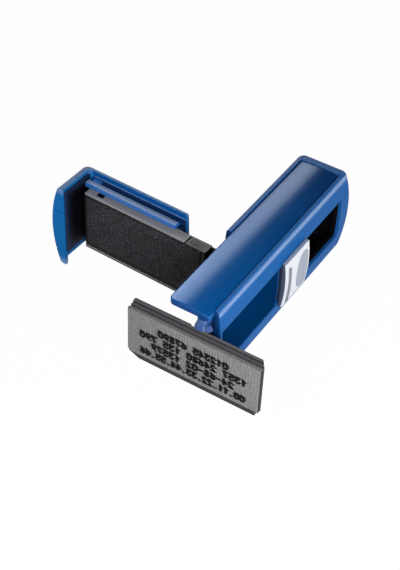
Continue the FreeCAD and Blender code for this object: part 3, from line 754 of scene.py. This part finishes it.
# woven-looking grey with black print
RUBBER = EngravedRubber("laser-engraved stamp rubber", "666666", "stamp_rubber", "8A8A8A")
# painted shade: a dark rim on the rubber's side and downward faces round the grey face
RUBBER_SIDE_SHADE = MouldedPlastic(
    "side of the stamp rubber, painted shade", "2C2B2D", "stamp_rubber", "454446", 0.7, level=0.1)


class Body(Enum):
    """Bodies of the mechanism."""

    CASE = "case"
    SLIDER = "slider"
    BRACKET = "bracket"
    WING = "wing"
    DIE = "die"


def fit(piece: Piece, body: Body, finish: Finish, *nodes: str) -> Piece:
    """Dresses a piece, lets it ride on its body and stand for its CAD nodes.

    Args:
        piece: the finished mesh object.
        body: the body that carries it.
        finish: its material.
        nodes: the CAD nodes that it replaces.

    Returns:
        The same piece.
    """
    finish.put_on(piece)
    if nodes:
        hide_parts(*nodes)
    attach(piece, body.value)
    log.info("%s: %d faces on %s", piece.name, len(piece.data.polygons), body.value)
    return piece


def carried_over(node: str, name: str, body: Body, finish: Finish, edge_mm: float = 0.0) -> Piece:
    """Dressed copy of a CAD node, with smooth curves and, where asked, softened edges.

    Args:
        node: the CAD node, which the copy stands for.
        name: the copy's name.
        body: the body that carries it.
        finish: its material.
        edge_mm: width of the bevel on its hard edges, or 0 for none.

    Returns:
        The copy.
    """
    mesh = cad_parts[node].data.copy()
    mesh.name = name
    work = bmesh.new()
    work.from_mesh(mesh)
    bmesh.ops.remove_doubles(work, verts=work.verts, dist=0.002 * MM)
    bmesh.ops.dissolve_limit(work, angle_limit=math.radians(0.4), verts=work.verts,
                             edges=work.edges)
    work.to_mesh(mesh)
    work.free()
    mesh.shade_smooth()
    mesh.set_sharp_from_angle(angle=math.radians(28))
    piece = place_object(name, mesh)
    if edge_mm:
        bevel = piece.modifiers.new("edges", "BEVEL")
        bevel.width, bevel.segments = edge_mm * MM, 2
        bevel.limit_method, bevel.angle_limit = "ANGLE", math.radians(40)
        bevel.harden_normals = True
    return fit(piece, body, finish, node)


def dress_where(piece: Piece, finish: Finish, chosen: Choice) -> None:
    """Gives some faces another finish of the same slot.

    Args:
        piece: the piece.
        finish: their finish.
        chosen: says which faces they are, from all faces' normals and centres, each 3 by n.
    """
    faces = piece.data.polygons
    normal, centre = (np.empty(len(faces) * 3, np.float32) for _ in range(2))
    index = np.empty(len(faces), np.int32)
    faces.foreach_get("normal", normal)
    faces.foreach_get("center", centre)
    faces.foreach_get("material_index", index)
    piece.data.materials.append(finish.material())
    index[chosen(normal.reshape(-1, 3).T, centre.reshape(-1, 3).T / MM)] = (
        len(piece.data.materials) - 1)
    faces.foreach_set("material_index", index)


# Sub-assemblies


@dataclass
class Case:
    """The case: walls, two covers, panel, chassis, hinge boss and pins."""

    cover_x: Pair = (-6.2, 6.25)  # left and right edge of the covers
    cover_y: Pair = (-35.8, 33.1)  # their front and rear edge
    cover_t: float = 1.85  # their thickness
    # radii of their corners
    cover_corners: tuple[float, float, float, float] = (1.7, 0.5, 1.2, 1.2)
    rim: float = 0.35  # rounding of their outer rim
    crown: float = 0.3  # how much their middle stands above their long edges
    edge_facing: float = 0.8  # least part along -Y of the normals of their front edge
    panel_y: Pair = (-32.3, -3.5)  # front and rear edge of the side panel
    panel_z: Pair = (6.5, 20.4)  # its lower and upper edge
    panel_depth: Pair = (-0.95, -0.25)  # its back and face, from the wall's bow
    pin_r: float = 0.9  # radius of both pins
    pin_chamfer: float = 0.2  # chamfer of their ends
    wing_pin_top: float = 25.95  # height of the wing's pin
    die_pin_top: float = 25.25  # height of the die's pin
    window_y: Pair = (-2.5, 32.0)  # front and rear edge of the window
    window_z: Pair = (6.9, 20.6)  # its lower and upper edge
    shade_sheet_t: float = 0.16  # thickness of the black sheet of painted shade in the window
    shade_sheet_x: float = 6.0  # the sheet's inner end
    shade_sheet_sunk: float = 0.9  # how far its outer end lies below the wall's bow
    lining_x: Pair = (-5.5, 6.2)  # left and right edge of the black sheet of painted shade on the rear wall
    lining_y: Pair = (33.04, 33.19)  # its front and back
    lining_z: Pair = (3.6, 24.2)  # its lower and upper edge

    def cover(self, name: str, node: str, top: bool) -> None:
        """Long cover. Its outer face falls away from the middle as the square of the distance.

        Args:
            name: the object's name.
            node: the CAD node.
            top: true for the upper cover.
        """
        x0, x1 = self.cover_x
        half = (x1 - x0) / 2
        outline = Outline.rectangle(self.cover_x, self.cover_y, self.cover_corners, 1.2)
        levels = round_levels((0.0, self.cover_t), 0.08, self.rim)[:-1]
        levels += [(s, self.cover_t) for s in (0.6, 1.0, 1.6, 2.4, 3.4, 4.6, 5.6, half - 0.15)]

        def crowned(points: Array) -> Array:
            """Lowers the sides and puts the cover in its place."""
            across = (points[:, 0] - (x0 + x1) / 2) / half
            share = np.clip(points[:, 2] / self.cover_t, 0, 1)
            up = points[:, 2] - self.crown * across ** 2 * share
            points[:, 2] = CASE_H - self.cover_t + up if top else self.cover_t - up
            return points

        piece = slab(name, outline, levels, flat_place, crowned)
        fit(piece, Body.CASE, GLOSS_BLUE, node)
        # painted shade on the cover's forward-facing faces
        dress_where(piece, COVER_FRONT_SHADE, lambda normal, centre: normal[Y] < -self.edge_facing)

    def panel(self) -> None:
        """Bare panel let into the right wall, on the wall's bow."""
        outline = Outline.rectangle(self.panel_y, self.panel_z, 0.25, 1.2)
        levels = round_levels(self.panel_depth, 0.05, 0.2, inner=0.3)
        levels += [(s, self.panel_depth[1]) for s in (1.0, 2.2, 3.6, 5.0, 6.4)]
        piece = slab("side_panel_face", outline, levels, bow_place)
        fit(piece, Body.CASE, PANEL_BLUE, "side_panel")
        # painted highlight on the panel's rim faces
        dress_where(piece, PANEL_RIM_HIGHLIGHT, lambda normal, centre: (normal[X] < 0.93)
                    & (centre[X] > side_bow(centre[Z]) - 0.5))

    def window_shade_sheet(self) -> None:
        """Black sheet of painted shade over the window's reveals: the band between two outlines,
        carried inwards along X.
        """
        outline = Outline.rectangle(self.window_y, self.window_z, 0.9)
        outer, inner = outline.ring(0.0), outline.ring(self.shade_sheet_t)
        n = len(outer)
        uv = np.concatenate([outer, outer, inner, inner])
        at_wall = np.repeat([False, True, True, False], n)
        x = np.where(at_wall, side_bow(uv[:, 1]) - self.shade_sheet_sunk, self.shade_sheet_x)
        faces = grid_faces(5, n, closed=True) % (4 * n)      # the fifth row is the first again
        piece = make_piece("window_shade_sheet", np.column_stack([x, uv]), faces.tolist())
        fit(piece, Body.CASE, BLACK_ABS)

    def rear_shade_sheet(self) -> None:
        """Black sheet of painted shade on the inner face of the rear wall."""
        outline = Outline.rectangle(self.lining_x, self.lining_z, 0.5)
        levels = round_levels(self.lining_y, 0.03, 0.03)
        fit(slab("rear_shade_sheet", outline, levels, front_place), Body.CASE, BLACK_ABS)

    def pin(self, name: str, node: str, axis: Pair, z1: float) -> None:
        """Steel pin on the lower cover, with chamfered ends.

        Args:
            name: the object's name.
            node: the CAD node.
            axis: plan position of its axis.
            z1: height of its top.
        """
        r, z0, c = self.pin_r, self.cover_t, self.pin_chamfer
        profile = [(r - c, z0), (r, z0 + c), (r, z1 - c), (r - c, z1)]
        fit(lathe(name, axis, profile), Body.CASE, STEEL, node)

    def build(self) -> None:
        """Builds all of the case."""
        self.cover("upper_cover", "top_cover", True)
        self.cover("lower_cover", "bottom_cover", False)
        self.panel()
        self.pin("wing_hinge_pin", "wing_pin", WING_AXIS, self.wing_pin_top)
        self.pin("die_hinge_pin", "die_pin", DIE_AXIS, self.die_pin_top)
        self.window_shade_sheet()
        self.rear_shade_sheet()
        walls = carried_over("housing_shell", "case_walls", Body.CASE, SATIN_BLUE, 0.18)
        # painted shade on the walls' forward-facing faces
        dress_where(walls, SHADE_BLUE,
                    lambda normal, centre: (normal[Y] < -SLOPING) & (centre[Y] < 0))
        for node, name, finish in (("chassis", "inner_chassis", BLACK_ABS),
                                   ("hinge_boss", "die_hinge_boss", BOSS_BLUE),
                                   ("liner_plate", "window_lining", BLACK_ABS),
                                   ("rear_stop", "end_buffer", BUFFER)):
            carried_over(node, name, Body.CASE, finish)


@dataclass
class Slider:
    """The slider: its inner plate, white cap with a slate front, thumb inlay and rib."""

    cap_y: Pair = (-1.93, 10.8)  # front and rear edge of the cap
    cap_z: Pair = (5.6, 21.4)  # its lower and upper edge
    rim: float = 0.42  # white rim left in front of the slate sheet
    stem_x: float = 4.5  # X from which the plate is the stem that shows beside the cap

    def cap(self) -> None:
        """White cap on its own fuller bow, with painted shade on its upper edge."""
        outline = Outline.rectangle(self.cap_y, self.cap_z, 0.3, 1.0)
        levels = round_levels((0.0, CAP_DEPTH), 0.05, 0.28, inner=0.3)
        levels += [(s, CAP_DEPTH) for s in (1.2, 2.6, 4.2, 5.8)]
        piece = slab("button_cap", outline, levels, cap_place)
        fit(piece, Body.SLIDER, BUTTON_WHITE, "slide_button")
        # painted shade on the cap's upward faces
        dress_where(piece, BUTTON_TOP_SHADE, lambda normal, centre: normal[Z] > NEARLY_SQUARE)

    def front_sheet(self) -> None:
        """Slate sheet on the cap's front: a thin rectangle, carried up along the bow."""
        z = np.linspace(self.cap_z[0] + 0.02, self.cap_z[1] - 0.12, 33)
        x0, x1 = side_bow(z) + 0.12, side_bow(z) + CAP_LIFT + cap_thickness(z) - self.rim
        y0, y1 = (np.full_like(z, self.cap_y[0] + d) for d in (-0.07, 0.3))
        ring = [np.stack([x, y, z], -1) for x, y in ((x0, y0), (x1, y0), (x1, y1), (x0, y1))]
        points = np.stack(ring, 1).reshape(-1, 3)
        piece = make_piece("button_front", points, tube_faces(len(z), len(ring)))
        fit(piece, Body.SLIDER, FLANK_SLATE)

    def build(self) -> None:
        """Builds all of the slider."""
        self.cap()
        self.front_sheet()
        carried_over("thumb_pad", "thumb_inlay", Body.SLIDER, SOFT_GREY)
        carried_over("grip_ridge", "cap_rib", Body.SLIDER, RIB_GREY)
        plate = carried_over("slider_plate", "slider_plate_face", Body.SLIDER, BLACK_ABS)
        dress_where(plate, STEM_SLATE, lambda normal, centre: (normal[Y] < -NEARLY_SQUARE)
                    & (centre[X] > self.stem_x))


@dataclass
class Wing:
    """The wing: blue shell, rail, clip, back plate, cartridge and felt.

    Drawn sizes are those of the folded wing. Those of faces to be chosen are the open wing's.
    """

    pad_y: Pair = (-55.2, -16.2)  # far and near end of the felt
    pad_z: Pair = (6.1, 22.9)  # its lower and upper edge
    pad_x: Pair = (-3.3, -0.72)  # its back and face
    fuzz: float = 0.09  # how deep its face is roughened
    inner_x: float = -6.4  # inner face of the long wall
    inner_y: float = -58.2  # inner face of the short leg
    lining_x: float = 5.0  # outer edge of the leg's lining
    lining_z: Pair = (4.8, 26.7)  # its lower and upper edge
    lining_t: float = 0.6  # its thickness
    rim_w: float = 3.0  # width of its navy rim
    corner_r: float = 2.4  # hollow rounding between wall and leg
    corner_z: float = 24.7  # its lower end
    tray_top: float = 23.5  # upper face of the cartridge
    seam_x: Pair = (-4.4, -0.95)  # sides of the dark seam in it
    seam_y: Pair = (-21.8, -21.3)  # the seam's ends
    notch_x: Pair = (-3.9, -2.3)  # sides of the dark notch in it
    notch_y: Pair = (-52.7, -50.5)  # the notch's ends
    leg_x: float = -50.0  # X at which the leg begins
    ledge_z: float = 25.9  # height of the ledge along the long wall
    rail_z: float = 25.0  # height above which the rail's upward faces are its top
    rim_z: float = 20.0  # height above which the cartridge's upward faces are its top
    back_x: float = -17.0  # X at which the back plate leaves the hinge
    step_x: float = -17.0  # X at which the cartridge's end begins
    lip_z: float = 5.2  # height below which its upward faces are the lower lip

    def felt(self) -> None:
        """Felt pad: rings of a rounded rectangle, roughened by seeded noise."""
        outline = Outline.rectangle(self.pad_y, self.pad_z, 0.5, 0.45)
        half, face = (self.pad_z[1] - self.pad_z[0]) / 2, self.pad_x[1]
        levels = round_levels(self.pad_x, 0.1, 0.4, inner=0.3, steps=3)
        levels += [(s, face) for s in np.arange(1.1, half - 0.2, 0.4)]
        rng = np.random.default_rng(11)

        def felted(points: Array) -> Array:
            """Roughens the face and opens the wing."""
            front = np.clip((points[:, 0] - face + 0.5) / 0.5, 0, 1)
            points[:, 0] -= front * rng.random(len(points)) * self.fuzz
            return opened(points)

        piece = slab("ink_felt", outline, levels, side_place, felted, 60.0)
        fit(piece, Body.WING, FELT, "ink_pad")

    def lining(self) -> None:
        """Dark sheet on the short leg, whose "rim" attribute is 1 at its outline and fades."""
        outline = Outline.rectangle((self.inner_x, self.lining_x), self.lining_z, 0.3, 1.0)
        front = self.inner_y + self.lining_t
        levels = [(0.0, self.inner_y), (0.0, front - 0.1), (0.1, front)]
        levels += [(s, front) for s in (0.5, 1.0, 1.6, 2.3, 3.0, 5.2)]
        piece = slab("wing_end_lining", outline, levels, front_place, opened)
        inset = np.repeat([s for s, _ in levels], len(piece.data.vertices) // len(levels))
        point_values(piece, "rim", np.clip(1 - inset / self.rim_w, 0, 1) ** 1.5)
        fit(piece, Body.WING, LINING, "end_liner")

    def corner(self) -> None:
        """Hollow rounding between wall and leg: a quarter circle and its corner, drawn upwards."""
        x0, y0, r = self.inner_x - 0.2, self.inner_y - 0.2, self.corner_r + 0.2
        a = np.linspace(math.pi, 1.5 * math.pi, 13)
        arc = np.stack([x0 + r + r * np.cos(a), y0 + r + r * np.sin(a)], -1)
        plan = np.concatenate([arc, [[x0, y0]]])
        heights = (self.corner_z, CASE_H - 0.25, CASE_H - 0.06)
        points = np.concatenate([np.column_stack([plan, np.full(len(plan), z)]) for z in heights])
        piece = make_piece("wing_corner", opened(points), tube_faces(len(heights), len(plan)))
        fit(piece, Body.WING, WING_BLUE)

    def shade_inlay(self, name: str, x: Pair, y: Pair) -> None:
        """Black sheet of painted shade in the cartridge's top, over a cut too narrow to look dark
        by itself.

        Args:
            name: the object's name.
            x: its sides.
            y: its ends.
        """
        levels = [(0.0, self.tray_top - 0.4), (0.0, self.tray_top + 0.02)]
        piece = slab(name, Outline.rectangle(x, y, 0.05), levels, flat_place, opened)
        fit(piece, Body.WING, BLACK_ABS)

    def shell(self) -> None:
        """Blue walls, with painted shade inside and on their foot, a painted highlight on the
        ledge, and the rail.
        """
        walls = carried_over("wing_shell", "wing_walls", Body.WING, WING_BLUE, 0.2)
        # painted shade: a deeper blue on the wall's inner face above the ledge, dark navy below it
        for finish, above in ((WING_INNER_SHADE, True), (CHANNEL_SHADE, False)):
            dress_where(walls, finish, lambda normal, centre: (normal[Y] < -SQUARE)
                        & (centre[X] > self.leg_x) & ((centre[Z] > self.ledge_z + 0.1) == above))
        # painted highlight on the ledge's upward faces
        dress_where(walls, RAIL_TOP_HIGHLIGHT, lambda normal, centre: (normal[Z] > SQUARE)
                    & (abs(centre[Z] - self.ledge_z) < 0.1))
        self.corner()
        self.lining()
        rail = carried_over("wing_rail", "wing_rail_strip", Body.WING, RAIL_BLUE, 0.15)
        # painted highlight on the rail's top, painted shade on its lower upward faces
        for finish, above in ((RAIL_TOP_HIGHLIGHT, True), (CHANNEL_SHADE, False)):
            dress_where(rail, finish, lambda normal, centre: (normal[Z] > SQUARE)
                        & ((centre[Z] > self.rail_z) == above))

    def cartridge(self) -> None:
        """Black cartridge with painted highlights: a grey top, a darker grey end and a light lower
        lip.
        """
        tray = carried_over("cartridge_tray", "ink_cartridge", Body.WING, TRAY_BLACK, 0.1)
        # painted highlight on the upward faces of the top and of the end
        for finish, beyond in ((TRAY_TOP_HIGHLIGHT, True), (TRAY_END_HIGHLIGHT, False)):
            dress_where(tray, finish, lambda normal, centre: (normal[Z] > SQUARE)
                        & (centre[Z] > self.rim_z) & ((centre[X] < self.step_x) == beyond))
        # painted highlight on the lower lip
        dress_where(tray, TRAY_LIP_HIGHLIGHT,
                    lambda normal, centre: (normal[Z] > SQUARE) & (centre[Z] < self.lip_z))
        self.shade_inlay("cartridge_seam", self.seam_x, self.seam_y)
        self.shade_inlay("cartridge_notch", self.notch_x, self.notch_y)

    def build(self) -> None:
        """Builds all of the wing."""
        self.shell()
        carried_over("wing_clip", "wing_snap", Body.WING, RAIL_BLUE)
        back = carried_over("hinge_arm", "wing_back_plate", Body.WING, BLACK_ABS)
        dress_where(back, NAVY_BACK, lambda normal, centre: centre[X] < self.back_x)
        self.cartridge()
        self.felt()


# Each digit as a line through these points, in a box 1 wide and 1.6 high.
GLYPHS = {
    "0": ((0.25, 0), (0.75, 0), (1, 0.35), (1, 1.25), (0.75, 1.6), (0.25, 1.6), (0, 1.25),
          (0, 0.35), (0.25, 0)),
    "1": ((0.15, 1.2), (0.6, 1.6), (0.6, 0)),
    "2": ((0, 1.25), (0.3, 1.6), (0.75, 1.6), (1, 1.3), (0.9, 0.95), (0, 0), (1, 0)),
    "3": ((0, 1.6), (1, 1.6), (0.45, 1.0), (0.85, 0.85), (1, 0.4), (0.7, 0), (0.25, 0), (0, 0.3)),
    "4": ((0.75, 0), (0.75, 1.6), (0, 0.5), (1.05, 0.5)),
    "5": ((1, 1.6), (0.1, 1.6), (0.05, 0.9), (0.7, 0.95), (1, 0.55), (0.75, 0), (0.2, 0), (0, 0.2)),
    "6": ((0.9, 1.6), (0.3, 1.2), (0, 0.45), (0.3, 0), (0.75, 0), (1, 0.4), (0.75, 0.85),
          (0.1, 0.75)),
    "7": ((0, 1.6), (1, 1.6), (0.4, 0)),
    "8": ((0.5, 0.85), (0.1, 1.2), (0.35, 1.6), (0.65, 1.6), (0.9, 1.2), (0.5, 0.85), (0, 0.4),
          (0.3, 0), (0.7, 0), (1, 0.4), (0.5, 0.85)),
    "9": ((0.1, 0), (0.7, 0.4), (1, 1.15), (0.7, 1.6), (0.25, 1.6), (0, 1.2), (0.25, 0.75),
          (0.9, 0.85)),
    "-": ((0.1, 0.8), (0.9, 0.8)),
    ".": ((0.4, 0.03), (0.6, 0.03)),
}
GLYPH_BOX_H = 1.6


@dataclass
class Die:
    """The die: knuckle, mount, foam and engraved rubber."""

    x: Pair = (-15.95, 24.05)  # left and right end
    rubber_z: Pair = (6.45, 21.9)  # lower and upper edge of the rubber
    foam_z: Pair = (6.45, 21.75)  # the same of the foam
    cut: Pair = (1.4, 0.7)  # width and height of the cut corner
    rubber_y: Pair = (-39.7, -38.7)  # engraved ground and back of the rubber
    foam_y: Pair = (-38.7, -38.1)  # front and back of the foam
    relief: float = 0.45  # how far the digits stand out
    rim: float = 0.2  # rounding of the rubber's edge
    step: float = 0.105  # grid step of its face
    stroke: float = 0.25  # half width of a digit's stroke
    shoulder: float = 0.56  # distance from a stroke's middle at which its slope ends
    # the digits of each row, which print the right way round
    rows: tuple[str, ...] = ("012345 67890", "1357 24680 135 790", "24-68-02 13579",
                             "00.11.22.33.44.55.66")
    row_half: tuple[float, ...] = (10.6, 16.2, 12.6, 16.0)  # half length of each row
    row_top: float = 4.35  # height of the first row's middle above the die's
    row_pitch: float = 2.9  # distance of the rows
    digit_h: float = 1.9  # height of a digit
    digit_w: float = 0.66  # its share of the space that it has

    def foam(self) -> None:
        """Foam sheet with the die's outline, a little smaller all round."""
        x0, x1, (z0, z1) = self.x[0] + 0.15, self.x[1] - 0.15, self.foam_z
        corners = ((x0 + self.cut[0], z0), (x1, z0), (x1, z1), (x0, z1), (x0, z0 + self.cut[1]))
        levels = round_levels(self.foam_y, 0.05, 0.05)
        piece = slab("foam_sheet", Outline(corners, (0.4,) * 5), levels, front_place)
        fit(piece, Body.DIE, FOAM, "cushion_sheet")

    def strokes(self) -> Array:
        """Straight strokes of all digits, n by 2 ends by (x, z), drawn as in a mirror."""
        found = []
        for i, (text, half) in enumerate(zip(self.rows, self.row_half)):
            pitch, middle = 2 * half / len(text), MID_Z + self.row_top - self.row_pitch * i
            scale = (-self.digit_w * pitch, self.digit_h / GLYPH_BOX_H)
            left = (1 - self.digit_w) / 2
            for j, glyph in enumerate(text):
                line = np.array(GLYPHS.get(glyph, ()), float).reshape(-1, 2) * scale
                line += (DIE_AXIS[0] + half - (j + left) * pitch, middle - self.digit_h / 2)
                found += [line[k:k + 2] for k in range(len(line) - 1)]
        return np.array(found)

    def relief_height(self, x: Array, z: Array) -> Array:
        """Height of the relief: full over each stroke's width, then falling to its shoulder.

        Args:
            x: across the die.
            z: upwards.

        Returns:
            Share of the full height, 0 to 1.
        """
        near = np.full(x.shape, 9.0)
        for a, b in self.strokes():
            here = np.abs(z - (a[1] + b[1]) / 2) < abs(a[1] - b[1]) / 2 + 0.8
            here &= np.abs(x - (a[0] + b[0]) / 2) < abs(a[0] - b[0]) / 2 + 0.8
            p, q = x[here] - a[0], z[here] - a[1]
            run, rise = b - a
            t = np.clip((p * run + q * rise) / (run * run + rise * rise), 0, 1)
            near[here] = np.minimum(near[here], np.hypot(p - t * run, q - t * rise))
        t = np.clip((self.shoulder - near) / (self.shoulder - self.stroke), 0, 1)
        return t * t * (3 - 2 * t)

    def rubber(self) -> None:
        """Rubber: a fine grid for its face, lifted along the digits, then rings to a flat back.

        The grid's columns start higher at the cut corner, and its outer rings swell to the
        outline along a quarter circle.
        """
        (x0, x1), (z0, z1), (face, back), rim = self.x, self.rubber_z, self.rubber_y, self.rim
        u = np.linspace(x0 + rim, x1 - rim, round((x1 - x0) / self.step))
        t = np.linspace(0, 1, round((z1 - z0) / self.step))
        corner = np.clip(1 - (u - u[0]) / self.cut[0], 0, 1) * self.cut[1]
        x = np.repeat(u[None, :], len(t), 0)
        z = z0 + rim + corner + t[:, None] * (z1 - z0 - 2 * rim - corner)
        high = self.relief_height(x, z)
        grid = np.stack([x, face - self.relief * high, z], -1).reshape(-1, 3)
        rows, columns = x.shape
        number = np.arange(rows * columns).reshape(rows, columns)
        loop = np.concatenate([number[0, :-1], number[:-1, -1], number[-1, :0:-1],
                               number[:0:-1, 0]])
        middle = np.array([(x0 + x1) / 2, 0, (z0 + z1) / 2])
        half = np.array([(x1 - x0) / 2, 1, (z1 - z0) / 2])
        rings = []
        for a in np.linspace(0, math.pi / 2, 5)[1:]:
            left = rim * (1 - math.sin(a))
            swell = (half - (left, 0, left)) / (half - (rim, 0, rim))
            rings.append(middle + (grid[loop] - middle) * swell * (1, 0, 1)
                         + (0, face + rim * (1 - math.cos(a)), 0))
        rings.append(rings[-1] * (1, 0, 1) + (0, back, 0))
        points = np.concatenate([grid, *rings])
        n, start = len(loop), rows * columns
        tiers = np.concatenate([loop, np.arange(start, start + n * len(rings))]).reshape(-1, n)
        after = np.roll(tiers, -1, 1)
        skirt = np.stack([tiers[:-1], tiers[1:], after[1:], after[:-1]], -1).reshape(-1, 4)
        faces = grid_faces(rows, columns).tolist() + skirt.tolist() + [tiers[-1].tolist()[::-1]]
        piece = make_piece("rubber_face", points, faces, 50.0)
        point_values(piece, "ink", np.concatenate([high.ravel(), np.zeros(len(points) - start)]))
        fit(piece, Body.DIE, RUBBER, "rubber_plate")
        # painted shade on the rubber's side and downward faces
        dress_where(piece, RUBBER_SIDE_SHADE, lambda normal, centre: (abs(normal[X]) > NEARLY_SQUARE)
                    | (normal[Z] < -NEARLY_SQUARE))

    def build(self) -> None:
        """Builds all of the die."""
        carried_over("die_knuckle", "die_hinge_knuckle", Body.DIE, BOSS_BLUE)
        mount = carried_over("die_mount", "die_mount_plate", Body.DIE, MOUNT_GREY, 0.12)
        # painted highlight on the mount's upward faces
        dress_where(mount, MOUNT_TOP_HIGHLIGHT, lambda normal, centre: normal[Z] > SLOPING)
        self.foam()
        self.rubber()


@dataclass
class Studio:
    """Floor, soft lamps, a sky that is white near the horizon and dim above, and the camera."""

    camera_mm: Triple = (124.655, -241.049, 262.180)  # the camera's place
    right: Triple = (0.842197, 0.537999, 0.035521)  # direction of the picture's right
    up: Triple = (-0.391478, 0.564870, 0.726407)  # direction of its top
    back: Triple = (0.370741, -0.625683, 0.686346)  # direction from the stamp to the camera
    lens: float = 84.355  # focal length in millimetres on a 36 mm sensor
    floor_half: float = 3.0  # half the floor's side, in metres
    floor_drop: float = 0.0002  # how far the floor lies below the stamp, in metres
    white_share: float = 0.985  # share of plain white in what is seen of the floor

    def camera(self) -> None:
        """Camera at the photograph's angle."""
        data = bpy.data.cameras.new("camera")
        data.sensor_width, data.lens = 36.0, self.lens
        data.clip_start, data.clip_end = 0.01, 20.0
        camera = place_object("camera", data)
        turn = Matrix((self.right, self.up, self.back)).transposed().to_4x4()
        camera.matrix_world = Matrix.Translation(Vector(self.camera_mm) * MM) @ turn
        bpy.context.scene.camera = camera

    def lamp(self, name: str, place: Triple, aim: Triple, size: Pair, radiance: float,
             lean: float = 0.0) -> None:
        """Rectangular softbox whose long side lies along Y as nearly as its aim allows.

        Args:
            name: its name.
            place: its centre, in millimetres.
            aim: the point that it faces, in millimetres.
            size: its width and its length, in millimetres.
            radiance: how bright its face is, where white paper in full light is 1.
            lean: X of the long side's direction for each 1 of Y.
        """
        data = bpy.data.lights.new(name, "AREA")
        data.shape, data.size, data.size_y = "RECTANGLE", size[0] * MM, size[1] * MM
        data.energy = radiance * math.pi * data.size * data.size_y
        back = (Vector(place) - Vector(aim)).normalized()
        line = Vector((lean, 1, 0))
        along = (line - back * back.dot(line)).normalized()
        turn = Matrix((along.cross(back), along, back)).transposed().to_4x4()
        place_object(name, data).matrix_world = Matrix.Translation(Vector(place) * MM) @ turn

    def surroundings(self) -> None:
        """Sky that fades from white at the horizon to nearly dark overhead, by its height."""
        world = bpy.data.worlds.new("surroundings")
        tree = blank_tree(world)
        direction = add(tree, "TexCoord").outputs["Generated"]
        height = add(tree, "SeparateXYZ", {0: direction}).outputs["Z"]
        fade = [(0.0, 1.0), (0.1, 0.85), (0.25, 0.3), (0.42, 0.05), (1.0, 0.03)]
        sky = add(tree, "Background", {"Color": ramp(tree, height, fade)})
        add(tree, "OutputWorld", {"Surface": sky.outputs[0]})
        bpy.context.scene.world = world

    def floor(self) -> None:
        """White floor. Seen directly or in a gloss it is mostly plain white, with faint shadow."""
        mesh = bpy.data.meshes.new("floor")
        s = self.floor_half
        mesh.from_pydata([(-s, -s, 0), (s, -s, 0), (s, s, 0), (-s, s, 0)], [], [(0, 1, 2, 3)])
        floor = place_object("floor", mesh)
        floor.location.z = -self.floor_drop
        made = bpy.data.materials.new("white floor")
        tree = blank_tree(made)
        plain = add(tree, "BsdfDiffuse", {"Color": "F4F4F4"})
        white = add(tree, "Emission", {"Color": (1, 1, 1, 1), "Strength": 1.0})
        path = add(tree, "LightPath")
        seen = path.outputs["Is Camera Ray"]
        for kind in ("Is Glossy Ray", "Is Transmission Ray"):
            seen = calc(tree, "MAXIMUM", seen, path.outputs[kind])
        share = calc(tree, "MULTIPLY", seen, self.white_share)
        both = add(tree, "MixShader",
                   {0: share, 1: plain.outputs[0], 2: white.outputs[0]})
        add(tree, "OutputMaterial", {"Surface": both.outputs[0]})
        mesh.materials.append(made)

    def build(self) -> None:
        """Sets the stage."""
        self.camera()
        self.surroundings()
        self.floor()
        for name, place, aim, size, radiance, lean in (
                ("key softbox", (110, -120, 100), (5, -25, 14), (80, 80), 12.0, 0.0),
                ("front fill", (-50, -178, 148), (0, -20, 14), (80, 80), 6.0, 0.0),
                ("rear left softbox", (-216, 305, 320), (0, 300, 28), (72, 250), 4.4, 0.13),
                ("far left softbox", (-290, 283, 320), (-45, -8, 28), (75, 75), 6.0, 0.0),
                ("rear right strip", (308, 306, 92), (8, 306, 28), (90, 245), 8.0, 0.0)):
            self.lamp(name, place, aim, size, radiance, lean)
        bpy.context.scene.view_settings.view_transform = "Standard"


def main() -> None:
    """Builds the stage and every sub-assembly in order."""
    logging.basicConfig(level=logging.INFO, format="%(name)s %(message)s")
    Studio().build()
    for part in (Case(), Slider(), Wing(), Die()):
        part.build()
        log.info("built %s", type(part).__name__)
    carried_over("timing_bracket", "timing_bracket_steel", Body.BRACKET, STEEL)


if __name__ == "__main__":
    main()
